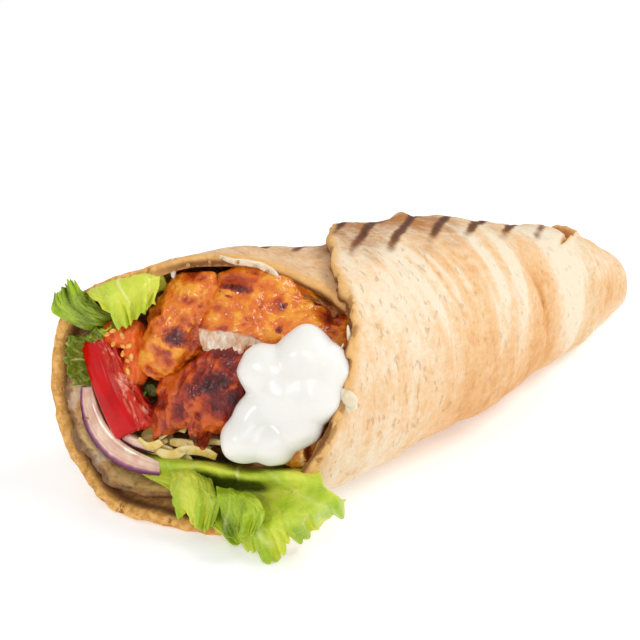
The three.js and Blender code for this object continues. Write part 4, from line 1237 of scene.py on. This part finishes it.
def strip(places, wide, thick, taper, count=80, around=32, look=outward):
    """A strip along a curve: a squared oval section, wide across and thick towards the look, that
    tapers at both ends. Gives its points and how far across they lie, -1 to 1."""
    s = np.linspace(0, 1, count)
    spine = in_mouth(spline(places, s))
    along = np.gradient(spine, axis=0)
    along /= np.linalg.norm(along, axis=-1, keepdims=True)
    across = np.cross(along, look)
    across /= np.linalg.norm(across, axis=-1, keepdims=True)
    up = np.cross(across, along)
    part = taper + (1 - taper) * np.sqrt(np.maximum(np.sin(math.pi * np.clip(s, 0.02, 0.98)), 0))
    a = np.linspace(0, 1, around, endpoint=False)
    turn = 2 * math.pi * a
    x = wide / 2 * np.sign(np.cos(turn)) * np.abs(np.cos(turn)) ** STRIP_SQUARENESS
    y = thick / 2 * np.sin(turn)
    points = spine[:, None] + part[:, None, None] * (x[:, None] * across[:, None] + y[:, None] * up[:, None])
    return points, {"across": x * 2 / wide + 0 * s[:, None]}


def onion_material():
    """Translucent pinkish white with faint lines along the layers, purple skin on the outer edge."""
    material, tree, shader = new_material("onion")
    spread = cloud(tree, own_place(tree), 200, 3, 0.5)
    edge = plus(tree, number(tree, "across"), swing(tree, spread, 0.5))
    paint = blended(tree, band(tree, spread, 0.3, 0.7), colour(242, 220, 196), colour(216, 170, 146))
    lines = maths(tree, "SINE", times(tree, edge, 9.0))
    paint = blended(tree, band(tree, lines, 0.55, 1.0, 0.0, 0.4), paint, colour(206, 142, 134))
    paint = blended(tree, band(tree, edge, 0.28, 0.55), paint, colour(166, 84, 122))
    paint = blended(tree, band(tree, edge, 0.5, 0.72), paint, colour(98, 26, 84))
    feed(tree, shader, {
        "Base Color": paint, "Roughness": 0.2, "Coat Weight": 0.4, "Coat Roughness": 0.08,
        "Subsurface Weight": 0.5, "Subsurface Radius": (1.0, 0.6, 0.5), "Subsurface Scale": 0.002,
    })
    return material


onion = onion_material()
for name, node_name, places, wide in (
    ("onion_slice", "onion_outer", OUTER_RING, 7.0),
    ("onion_layer", "onion_inner", INNER_RING, 3.4),
):
    points, numbers = with_ends(*strip(places, wide, ONION, 0.45))
    quads = grid_quads(*points.shape[:2], closed=True)
    piece(name, points, quads, onion, [node_name], numbers)


# ---------------------------------------------------------------- cabbage
# A pinch of shredded white cabbage under the chicken, pale yellow and crisp: thin, curled strips that
# lie loose across each other in front of the chopped filling.
CABBAGE_SEED = 71
SHREDS = 20
SHRED_STEPS, SHRED_SIDES = 36, 12


def cabbage_heap():
    """Thin curled shreds: each runs a short way to the right with its own lift, bend and twist."""
    chance = np.random.default_rng(CABBAGE_SEED)
    points, quads, total = [], [], 0
    for shred in range(SHREDS):
        at = np.array([chance.uniform(-27, -6), chance.uniform(-21, -16), chance.uniform(-2, 4)])
        way = np.array([chance.uniform(6, 14), chance.uniform(-2.5, 3.5), chance.uniform(-2, 1)])
        curl = np.array([chance.uniform(-1, 1), chance.uniform(-3, 3.5), chance.uniform(-1.5, 2)])
        steps_along = np.linspace(0, 1, 6)[:, None]
        places = at + way * steps_along + curl * np.sin(math.pi * steps_along)
        look = outward + chance.uniform(-0.6, 0.6) * upward
        wide = chance.uniform(1.6, 3.4)
        thick = chance.uniform(0.4, 0.8)
        rings, _ = with_ends(*strip(places, wide, thick, 0.6, SHRED_STEPS, SHRED_SIDES, look))
        points.append(rings.reshape(-1, 3))
        quads.append(grid_quads(*rings.shape[:2], closed=True) + total)
        total += rings.shape[0] * rings.shape[1]
    return np.concatenate(points), np.concatenate(quads)


cabbage_points, cabbage_quads = cabbage_heap()
cabbage, cabbage_tree, cabbage_shader = new_material("cabbage")
cabbage_cloud = cloud(cabbage_tree, own_place(cabbage_tree), 300, 3, 0.5)
cabbage_paint = blended(
    cabbage_tree, band(cabbage_tree, cabbage_cloud, 0.3, 0.7), colour(252, 230, 158), colour(232, 194, 100)
)
feed(cabbage_tree, cabbage_shader, {
    "Base Color": cabbage_paint, "Normal": bumped(cabbage_tree, cabbage_cloud, 0.0004, 0.5),
    "Roughness": 0.3, "Subsurface Weight": 0.4, "Subsurface Radius": (1.0, 1.0, 0.5),
    "Subsurface Scale": 0.0015,
})
piece("cabbage_shreds", cabbage_points, cabbage_quads, cabbage, ["cabbage"])


# ---------------------------------------------------------------- chicken
# Pieces of spiced chicken from the spit: two large orange slices at the top, a dark glazed one in the
# middle and a roasted one at the right. Their crust is craggy and oily, charred on its high spots.
LEFT_SLICE = [
    [-2.6, 30.0, -5], [-7.2, 31.6, -5], [-12.1, 31.0, -5], [-16.6, 28.6, -4], [-19.2, 22.9, -2],
    [-21.7, 18.5, -1], [-20.9, 14.8, 0], [-21.8, 10.4, 1], [-22.8, 5.3, 1], [-21.1, 2.1, 1],
    [-18.4, -0.3, 1], [-15.9, -1, 0], [-12, 1.4, 0], [-8, 5.2, 0], [-4.5, 9.1, -1], [-2.4, 16.8, -3],
]
TOP_SLICE = [
    [-6.3, 28, -6], [-2.6, 32.2, -9], [2.9, 34.4, -11], [9.2, 34.2, -13], [15, 32, -15], [20, 29.4, -17],
    [25.9, 25.4, -17], [32, 22.6, -17], [36.5, 18.6, -14], [36.5, 13.6, -11], [30, 10.6, -9],
    [21.1, 11.2, -7], [14.8, 12.2, -3], [8.6, 10.4, -1], [4.5, 9, 0], [0.2, 8.2, 1], [-3.8, 9.6, 1],
    [-6, 13.9, 1], [-6.5, 17.4, 0], [-6.8, 22.2, -3],
]
MIDDLE_SLICE = [
    [-15.8, -0.6, 1], [-10.3, 3.5, 1], [-6.4, 7.9, 2], [-2.1, 10.5, 2], [2.6, 12.1, 2], [6.8, 13.1, 1],
    [10.8, 12.1, 0], [13.7, 2.8, 0], [12.4, -4, 1], [9, -8.1, 2], [5.6, -12.2, 2], [2.9, -11.4, 2],
    [0.8, -16.6, 3], [-2.6, -16.4, 3], [-4, -12.6, 3], [-8.4, -14.4, 2], [-12.8, -17, 1],
    [-16.9, -18.6, 1], [-19, -13.8, 0], [-18.6, -9, 0], [-16.4, -4.7, 0],
]
RIGHT_SLICE = [
    [33.5, 0.4, -2], [34, -4.5, -2], [32.6, -11, -1], [30, -16, 0], [26, -17.4, 2], [22, -16.4, 3],
    [20.5, -13, 2], [24, -8, 1], [29, -1, -2],
]


def mouth_normals(points):
    """Unit normals of closed rings of points in the mouth's frame, pointing out of the piece; the
    first and last ring, which are single points, take the mean of their neighbours."""
    along = np.roll(points, -1, 1) - np.roll(points, 1, 1)
    down = np.gradient(points, axis=0)
    normal = np.cross(down, along)
    normal[0], normal[-1] = normal[1:4].sum((0, 1)), normal[-4:-1].sum((0, 1))
    normal = normal / np.maximum(np.linalg.norm(normal, axis=-1, keepdims=True), 1e-9)
    return normal * np.sign(normal[0, 0, 2])


SLICE_SQUARENESS = 0.6       # 1 is a round edge, less is boxier


def slab(outline, thick, crown, around=300, rings=90):
    """A slice seen in the mouth. Its outline is a smooth closed curve through [right, up, out]
    places. Ring by ring it shrinks to its middle by the sine of an angle that runs from 0 at the
    front to 180 degrees at the back; the thickness follows the cosine and the front bulges."""
    places = np.asarray(outline, float)
    count = len(places)
    closed = np.concatenate([places[-2:], places, places[:3]])
    at = np.linspace(0, count, around, endpoint=False)
    edge = np.stack([through(at, np.arange(-2, count + 3), closed[:, k]) for k in range(3)], -1)
    turn = np.linspace(0, math.pi, rings)[:, None, None]
    share = np.sin(turn)
    high = np.sign(np.cos(turn)) * np.abs(np.cos(turn)) ** SLICE_SQUARENESS
    middle = edge.mean(0)
    points = middle + (edge[None] - middle) * share
    points[..., 2:] += thick / 2 * high + crown * (1 - share**2) * (turn < math.pi / 2)
    return points


def spots(points, marks):
    """How strongly the nearest of some marks covers a place: each is right, up, its two half widths
    and its strength, and falls off as a bell."""
    total = np.zeros(points.shape[:-1])
    for right, up, wide, high, strength in marks:
        bell = hump(points[..., 0], right, wide) * hump(points[..., 1], up, high)
        total = np.maximum(total, strength * bell)
    return total


def chicken_material(name, light, mid, deep, char, gloss, film):
    """Oily spiced crust: from light to deep by its crags, charred where char says, white cut flesh
    where flesh says, with fibres and fine spice grain. gloss is the roughness of its smooth spots,
    and film how much fat lies on it."""
    material, tree, shader = new_material(name)
    spot = own_place(tree)
    crag, flesh, burnt, yellow = [number(tree, key) for key in ("crag", "flesh", "char", "yellow")]
    large = cloud(tree, spot, 170, 4, 0.6, 0.8)
    small = cloud(tree, spot, 620, 5, 0.7, 0.5)
    fine = cloud(tree, spot, 1900, 3, 0.6)
    glaze = cloud(tree, spot, 330, 3, 0.5)
    tone = weighed(tree, (crag, -0.55), (large, 0.8), (small, 0.45), (yellow, -0.35))
    paint = blended(tree, band(tree, tone, 0.3, 0.62), light, mid)
    paint = blended(tree, band(tree, tone, 0.62, 0.95), paint, deep)
    scorched = plus(tree, burnt, swing(tree, large, 1.2))
    scorched = plus(tree, scorched, swing(tree, small, 1.1))
    paint = blended(tree, band(tree, scorched, 0.32, 0.62), paint, deep)
    paint = blended(tree, band(tree, scorched, 0.55, 0.95), paint, char)
    fibres = cloud(tree, stretched(tree, spot, (1, 0.3, 0.3)), 700, 4, 0.6, 0.4)
    meat = blended(tree, band(tree, fibres, 0.35, 0.65), colour(255, 238, 216), colour(232, 184, 142))
    paint = blended(tree, flesh, paint, meat)
    grain = weighed(tree, (small, 1.0), (fine, 0.35))
    feed(tree, shader, {
        "Base Color": paint, "Normal": bumped(tree, grain, 0.0012, 0.75),
        "Coat Normal": bumped(tree, glaze, 0.0012, 0.8),
        "Roughness": band(tree, small, 0.35, 0.65, gloss, gloss + 0.25),
        "Specular IOR Level": 0.2, "Coat Weight": film, "Coat IOR": 1.9, "Coat Roughness": 0.12,
        "Subsurface Weight": 0.12, "Subsurface Radius": (1.0, 0.35, 0.12),
        "Subsurface Scale": 0.002,
    })
    return material


def chicken(name, node_name, points, material, rough, seed, char, yellow, cut=None, grain=(3.0, 3.0)):
    """A chicken slice with its crust: broad folds, ridges where layered noise passes nought, torn
    grain along one way, and beads of crisp skin. rough is how deep all that is, char and yellow are
    marks of spots, and grain is how far the torn fibres run to the right and up. Where a cut is
    given, as right-up places of its line, the crust ends there in a crisp step and the paler flesh
    hangs below it."""
    right, up, out = np.moveaxis(points, -1, 0)
    folds = noise(right / 8, up / 8, out / 8, seed)
    ridge = 1 - np.abs(layered(right / 6, up / 6, out / 6, seed + 1, 3))
    torn = layered(right / grain[0], up / grain[1], out / 4, seed + 5, 3)
    beads = noise(right / 1.5, up / 1.5, out / 1.5, seed + 9)
    beads = beads + 0.5 * noise(right / 0.8, up / 0.8, out / 0.8, seed + 10)
    height = rough * (1.1 * folds + 1.2 * (ridge - 0.7) + 0.4 * torn) + 0.2 * beads
    flesh = np.zeros(right.shape)
    if cut is not None:
        line = through(right, *np.transpose(cut)) + 0.35 * noise(right / 1.5, 0 * up, 0 * out, seed + 12)
        flesh = ease(up, line + 0.25, line - 0.25) * ease(right, cut[-1][0] + 1, cut[-1][0] - 1)
        strands = 0.9 * layered(right / 1.6, up / 5, out / 2, seed + 14, 3)
        height = height * (1 - 0.5 * flesh) - flesh * (1.2 - 1.5 * strands)
    places = points + mouth_normals(points) * height[..., None]
    numbers = {"crag": ridge - 0.7 + 0.35 * torn + 0.15 * beads, "flesh": flesh}
    numbers.update(char=spots(points, char), yellow=spots(points, yellow))
    quads = grid_quads(*places.shape[:2], closed=True)
    piece(name, in_mouth(places), quads, material, [node_name], numbers)


spiced = chicken_material(
    "spiced_chicken", colour(250, 164, 38), colour(232, 116, 12), colour(180, 60, 4), colour(84, 6, 2),
    gloss=0.24, film=0.4,
)
glazed = chicken_material(
    "glazed_chicken", colour(214, 92, 10), colour(164, 44, 4), colour(112, 14, 3), colour(66, 1, 2),
    gloss=0.3, film=0.28,
)
roasted = chicken_material(
    "roasted_chicken", colour(255, 210, 136), colour(232, 146, 46), colour(168, 80, 18), colour(96, 34, 6),
    gloss=0.26, film=0.35,
)
chicken(
    "chicken_left_slice", "chicken_left", slab(LEFT_SLICE, thick=7.5, crown=3.0),
    spiced, rough=0.8, seed=81,
    char=[
        (-10.5, 13.4, 4.6, 3.4, 1.0), (-6.5, 17, 2.5, 4.5, 0.55), (-13, 9, 3, 2, 0.6),
        (-5.5, 24, 1.2, 5, 0.5),
    ],
    yellow=[
        (-19.3, 20.6, 3, 3, 0.7), (-9.5, 27, 4, 1.6, 0.8), (-21.4, 13.5, 2, 3, 1.0),
        (-18.9, 7.3, 3, 2, 0.7),
    ],
)
chicken(
    "chicken_top_slice", "chicken_top", slab(TOP_SLICE, thick=7.5, crown=4.0),
    spiced, rough=0.6, seed=84,
    char=[
        (2.5, 28.4, 6.0, 1.5, 1.0), (8.3, 21.0, 0.9, 0.8, 0.9), (10.9, 24.6, 0.8, 0.9, 0.8),
        (16, 24.8, 1.3, 1.3, 1.0), (17.2, 19.1, 1.2, 1.3, 1.0), (23.4, 25.9, 1.2, 1.0, 1.0),
        (28.5, 23, 3.2, 3.4, 0.85), (1.6, 26, 1.5, 0.5, 0.9), (-6, 20, 1.3, 5, 0.8), (20, 19, 2.5, 1.2, 0.5),
    ],
    yellow=[(3, 21.5, 5.5, 3.0, 1.0), (13, 29, 5, 2.2, 0.6), (8, 18.5, 5, 1.4, 0.5)],
    cut=[(-8, 16.2), (-4.7, 16.6), (0.4, 17.1), (4.7, 17.2), (10.2, 16.9), (15.4, 15.3), (17.5, 13.5)],
    grain=(5.0, 2.5),
)
chicken(
    "chicken_middle_slice", "chicken_front", slab(MIDDLE_SLICE, thick=8.0, crown=4.2),
    glazed, rough=1.0, seed=88,
    char=[
        (3.0, 3.6, 5.2, 3.8, 1.05), (8.5, 0, 3.4, 3.6, 0.85), (-2, 0, 2.6, 2.6, 0.7),
        (-1.2, -14.5, 2.2, 3.2, 0.9), (-17, -6, 1.5, 4, 0.5),
    ],
    yellow=[
        (-10.5, 0.5, 3.5, 3.0, 1.2), (-15, -14, 3, 3, 0.9), (4.5, -8.6, 4, 2.6, 1.6),
        (-11, -7, 3.5, 2, 0.6), (-5, 6, 2.5, 2, 0.7),
    ],
    grain=(1.6, 6.0),
)
chicken(
    "chicken_right_slice", "chicken_right", slab(RIGHT_SLICE, thick=7.0, crown=1.5, around=240, rings=70),
    roasted, rough=0.6, seed=93,
    char=[(31.5, -3, 2, 4, 0.7), (24, -13, 2.5, 1.4, 0.6), (30.5, -11, 1.0, 5, 0.9), (27.6, -8, 0.6, 4, 0.7)],
    yellow=[(29, -9, 1.2, 5, 1.0), (26, -12, 1.0, 3, 0.9)],
    grain=(1.3, 9.0),
)


# ---------------------------------------------------------------- garlic sauce
# A dollop of thick white garlic sauce, set down in broad rounded lobes over the right of the filling,
# with a peak on top. It is smooth, dense and glossy. A thin smear and a few small drips of it lie on
# the rims and the chicken that it has touched.
SAUCE_BALLS = [
    [26, 18.9, 1, 3.4], [27, 14, 2, 7.4], [33, 11.8, 0, 6.2], [16.6, 9, 5, 6.8], [31, 4, 2, 7.2],
    [23, 3, 4, 8], [15, -3, 6, 5], [28, -5, 4, 5.8], [21.5, -11, 6, 5.8], [13.4, -10.6, 8, 6.4],
]
SAUCE_REACH = 60.0           # no part of the dollop is farther from its middle
HALVINGS = 24


def sauce_material():
    """Off-white cream, a touch yellow where it is thin, and beige where fold says: on the dollop that is
    painted shade in the creases between its lobes, on the smear and the drips a darker tone. Smooth
    and wet.
    """
    material, tree, shader = new_material("garlic_sauce")
    fold, thin = number(tree, "fold"), number(tree, "thin")
    drift = cloud(tree, own_place(tree), 170, 2, 0.5)
    # Painted shade: the creases between the dollop's lobes are painted beige.
    tone_and_crease_shade = weighed(tree, (drift, 0.35), (fold, 0.75))
    paint = blended(tree, band(tree, tone_and_crease_shade, 0.3, 0.75), colour(236, 234, 228), colour(214, 200, 164))
    paint = blended(tree, thin, paint, colour(242, 216, 184))
    feed(tree, shader, {
        "Base Color": paint, "Normal": bumped(tree, drift, 0.0008, 0.3), "Roughness": 0.3,
        "Coat Weight": 0.3, "Coat Roughness": 0.15, "Subsurface Weight": 0.4,
        "Subsurface Radius": (1.0, 0.9, 0.7), "Subsurface Scale": 0.003,
    })
    return material


def merged(balls, count, soft):
    """A smooth body of balls that run into each other. Along each way out of their middle it ends
    where the sum of exp(-distance past each ball / soft) falls to one, found by halving. Gives the
    middle, ways, quads and distances."""
    balls = np.asarray(balls, float)
    middle = balls[:, :3].mean(0)
    ways, quads = ball_ways(count)
    near, far = np.zeros(len(ways)), np.full(len(ways), SAUCE_REACH)
    for halving in range(HALVINGS):
        half = (near + far) / 2
        places = middle + ways * half[:, None]
        past = np.linalg.norm(places[:, None] - balls[None, :, :3], axis=-1) - balls[:, 3]
        inside = np.exp(-past / soft).sum(-1) > 1
        near, far = np.where(inside, half, near), np.where(inside, far, half)
    return middle, ways, quads, near


sauce = sauce_material()
sauce_middle, sauce_ways, sauce_quads, sauce_far = merged(SAUCE_BALLS, count=100, soft=1.5)
sauce_base = sauce_middle + sauce_ways * sauce_far[:, None]
# Painted shade: the creases between the balls are drawn a little in and painted a little darker.
ball_gaps = [np.linalg.norm(sauce_base - np.array(ball[:3]), axis=-1) - ball[3] for ball in SAUCE_BALLS]
nearest = np.sort(np.stack(ball_gaps), axis=0)[:2]
crease = np.exp(-(nearest[1] - nearest[0]) / 1.3)
sauce_swell = 0.7 * noise(*sauce_base.T / 7.5, 101) + 0.3 * noise(*sauce_base.T / 3.6, 103)
piece(
    "sauce_dollop",
    in_mouth(sauce_middle + sauce_ways * (sauce_far + sauce_swell - 0.15 * crease)[:, None]),
    sauce_quads,
    sauce,
    ["sauce"],
    {"fold": 0.1 * crease, "thin": 0 * crease},
)

SMEAR = [
    [-3.5, 36.0, -4.2], [0, 35.2, -6.0], [4.4, 35.0, -7.8], [8.4, 34.2, -9.2], [11.4, 32.2, -10.2],
    [11.0, 30.2, -10.4],
]
smear, _ = with_ends(*strip(SMEAR, wide=2.1, thick=1.1, taper=0.3, count=120, around=40))
smear_x, smear_y, smear_z = np.moveaxis(smear, -1, 0)
smear_rough = 0.7 * noise(smear_x / 3.0, smear_y / 3.0, smear_z / 3.0, 111)
smear_rough = smear_rough + 0.5 * noise(smear_x / 1.2, smear_y / 1.2, smear_z / 1.2, 112)
piece(
    "sauce_smear",
    smear + outward * smear_rough[..., None],
    grid_quads(*smear.shape[:2], closed=True),
    sauce,
    numbers={"fold": 0 * smear_rough + 0.6, "thin": 0 * smear_rough + 0.7},
)

# small drops and drips of it, round in the mouth's plane: right, up, out, long, wide, turn
DRIPS = [
    (38.2, 5.0, 2.0, 5.4, 4.8, 20), (40.6, 4.6, 2.2, 5.2, 4.6, -30), (39.4, 2.6, 1.8, 4.8, 4.0, 0),
    (41.8, 3.0, 1.6, 2.6, 2.4, 40), (-15.6, 31.6, -0.9, 1.7, 6.0, 6), (36.2, 20.4, -5.0, 0.9, 5.4, 12),
    (35.2, 16.6, -3.0, 0.8, 3.6, -16), (34.5, -11.0, -1.0, 1.2, 3.0, 20),
]
DRIP_HIGH = 1.8
for k, (right, up, out, long, wide, turn) in enumerate(DRIPS):
    middle = np.array([right, up, out])
    drip, drip_quads = drops([middle], (long, wide, DRIP_HIGH), [turn], count=16)
    bumpy = 0.25 * noise(*drip.T / 1.6, 120 + k)
    away = (drip - middle) / np.linalg.norm(drip - middle, axis=-1, keepdims=True)
    numbers = {"fold": 0.5 + bumpy, "thin": 0.35 + 0 * bumpy}
    drip = in_mouth(drip + away * bumpy[:, None])
    piece(f"sauce_drip_{k}", drip, drip_quads, sauce, numbers=numbers)


# ---------------------------------------------------------------- crumbs and herbs
# Chopped green herb stuck to the chicken, slices of green olive behind it, and crumbs of bread crust
# along the rim. They lie loose on the sauce and fat that hold them.
def flecks(name, material, places, size, seed):
    """Small uneven flecks at places in the mouth, each turned by chance in its own plane."""
    chance = np.random.default_rng(seed)
    turns = chance.uniform(0, 180, len(places))
    points, quads = drops(places, size, turns, count=5)
    points = points + 0.18 * noise(*points.T / 0.7, seed)[:, None]
    piece(name, in_mouth(points), quads, material)


herb = moist_material(
    "herb", colour(92, 116, 28), colour(58, 82, 14), colour(36, 52, 10), hills=900, gloss=0.4
)
herb_places = [(1.7, 27.1, -3.5), (-1.4, 26.3, -2), (-20.4, -5.0, 1.5), (-19.5, -8.8, 1), (-22.6, -2.0, 1)]
flecks("herb_flecks", herb, herb_places, size=(2.0, 0.9, 0.4), seed=133)
crust = moist_material(
    "crumb_crust", colour(226, 184, 122), colour(188, 132, 70), colour(130, 78, 30), hills=900, gloss=0.8
)
crumb_places = [
    (9.6, 33.4, -8.4), (1.6, 35.2, -5.8), (-5.4, 34.6, -2.6), (-10.8, 33.2, -0.4), (-36.6, -14.6, 4.2),
    (-30.6, -22.2, 4.6), (-4.6, -21.4, 4.8), (5.0, -20.4, 5.4),
]
flecks("bread_crumbs", crust, crumb_places, size=(1.3, 1.0, 0.8), seed=134)
olive = moist_material(
    "olive", colour(106, 112, 40), colour(74, 78, 22), colour(44, 44, 10), hills=300, gloss=0.25
)
olive_places = [(4.4, -13.9, -1.0), (-7.2, -18.3, -1.0), (-20.3, -4.6, -2.0)]
flecks("olive_slices", olive, olive_places, size=(5.0, 3.6, 1.6), seed=135)


# ---------------------------------------------------------------- studio
# A plain white floor that runs back out of sight under a white sky, three soft lamps, the largest up
# on the right, and the camera.
CAMERA_TURN, CAMERA_TILT = math.radians(-41), math.radians(25)
CAMERA_AIM = (54, 12, 40)    # the spot it looks at, mm in the roll's frame
CAMERA_FAR = 475             # mm from there
FLOOR_HALF = 3               # metres
LAMP_AIM = (0, 0, 0.03)      # metres
GLINT_AIM = (-0.08, 0, 0.05)

floor_mesh = bpy.data.meshes.new("floor")
floor_corners = [(-FLOOR_HALF, -FLOOR_HALF, 0), (FLOOR_HALF, -FLOOR_HALF, 0)]
floor_corners += [(FLOOR_HALF, FLOOR_HALF, 0), (-FLOOR_HALF, FLOOR_HALF, 0)]
floor_mesh.from_pydata(floor_corners, [], [(0, 1, 2, 3)])
floor = bpy.data.objects.new("floor", floor_mesh)
bpy.context.scene.collection.objects.link(floor)
floor_paint, floor_tree, floor_shader = new_material("floor")
feed(floor_tree, floor_shader, {
    "Base Color": (0.82, 0.82, 0.82, 1), "Roughness": 0.8, "Specular IOR Level": 0.1,
    "Emission Color": (1, 1, 1, 1), "Emission Strength": 0.32,
})
floor_mesh.materials.append(floor_paint)

world = bpy.data.worlds.new("studio")
world.use_nodes = True
feed(world.node_tree, world.node_tree.nodes["Background"], {"Color": (1, 1, 1, 1), "Strength": 0.66})
bpy.context.scene.world = world


def lamp(name, place, aim, size, power):
    """A square soft lamp at a place, turned towards its aim, all in metres, with a power in watts."""
    data = bpy.data.lights.new(name, "AREA")
    data.shape = "SQUARE"
    data.size = size
    data.energy = power
    made = bpy.data.objects.new(name, data)
    way = np.array(aim, float) - np.array(place, float)
    flat = math.hypot(way[0], way[1])
    made.location = place
    made.rotation_euler = (math.atan2(flat, -way[2]), 0, math.atan2(-way[0], way[1]))
    bpy.context.scene.collection.objects.link(made)


lamp("key", (0.5, -0.38, 0.8), LAMP_AIM, size=0.4, power=4.0)
lamp("front", (-0.5, -0.62, 0.62), LAMP_AIM, size=0.3, power=1.1)
lamp("glint", (-0.78, -0.1, 0.42), GLINT_AIM, size=0.1, power=1.0)

camera_data = bpy.data.cameras.new("camera")
camera_data.lens = 90
camera_data.sensor_width = 36
camera_data.clip_start = 0.01
camera = bpy.data.objects.new("camera", camera_data)
level = math.cos(CAMERA_TILT)
backward = np.array([math.sin(CAMERA_TURN) * level, -math.cos(CAMERA_TURN) * level, math.sin(CAMERA_TILT)])
camera.location = in_place(np.array(CAMERA_AIM) + CAMERA_FAR * backward)[0].tolist()
camera.rotation_euler = (math.pi / 2 - CAMERA_TILT, 0, CAMERA_TURN)
bpy.context.scene.collection.objects.link(camera)
bpy.context.scene.camera = camera
bpy.context.scene.view_settings.view_transform = "Standard"
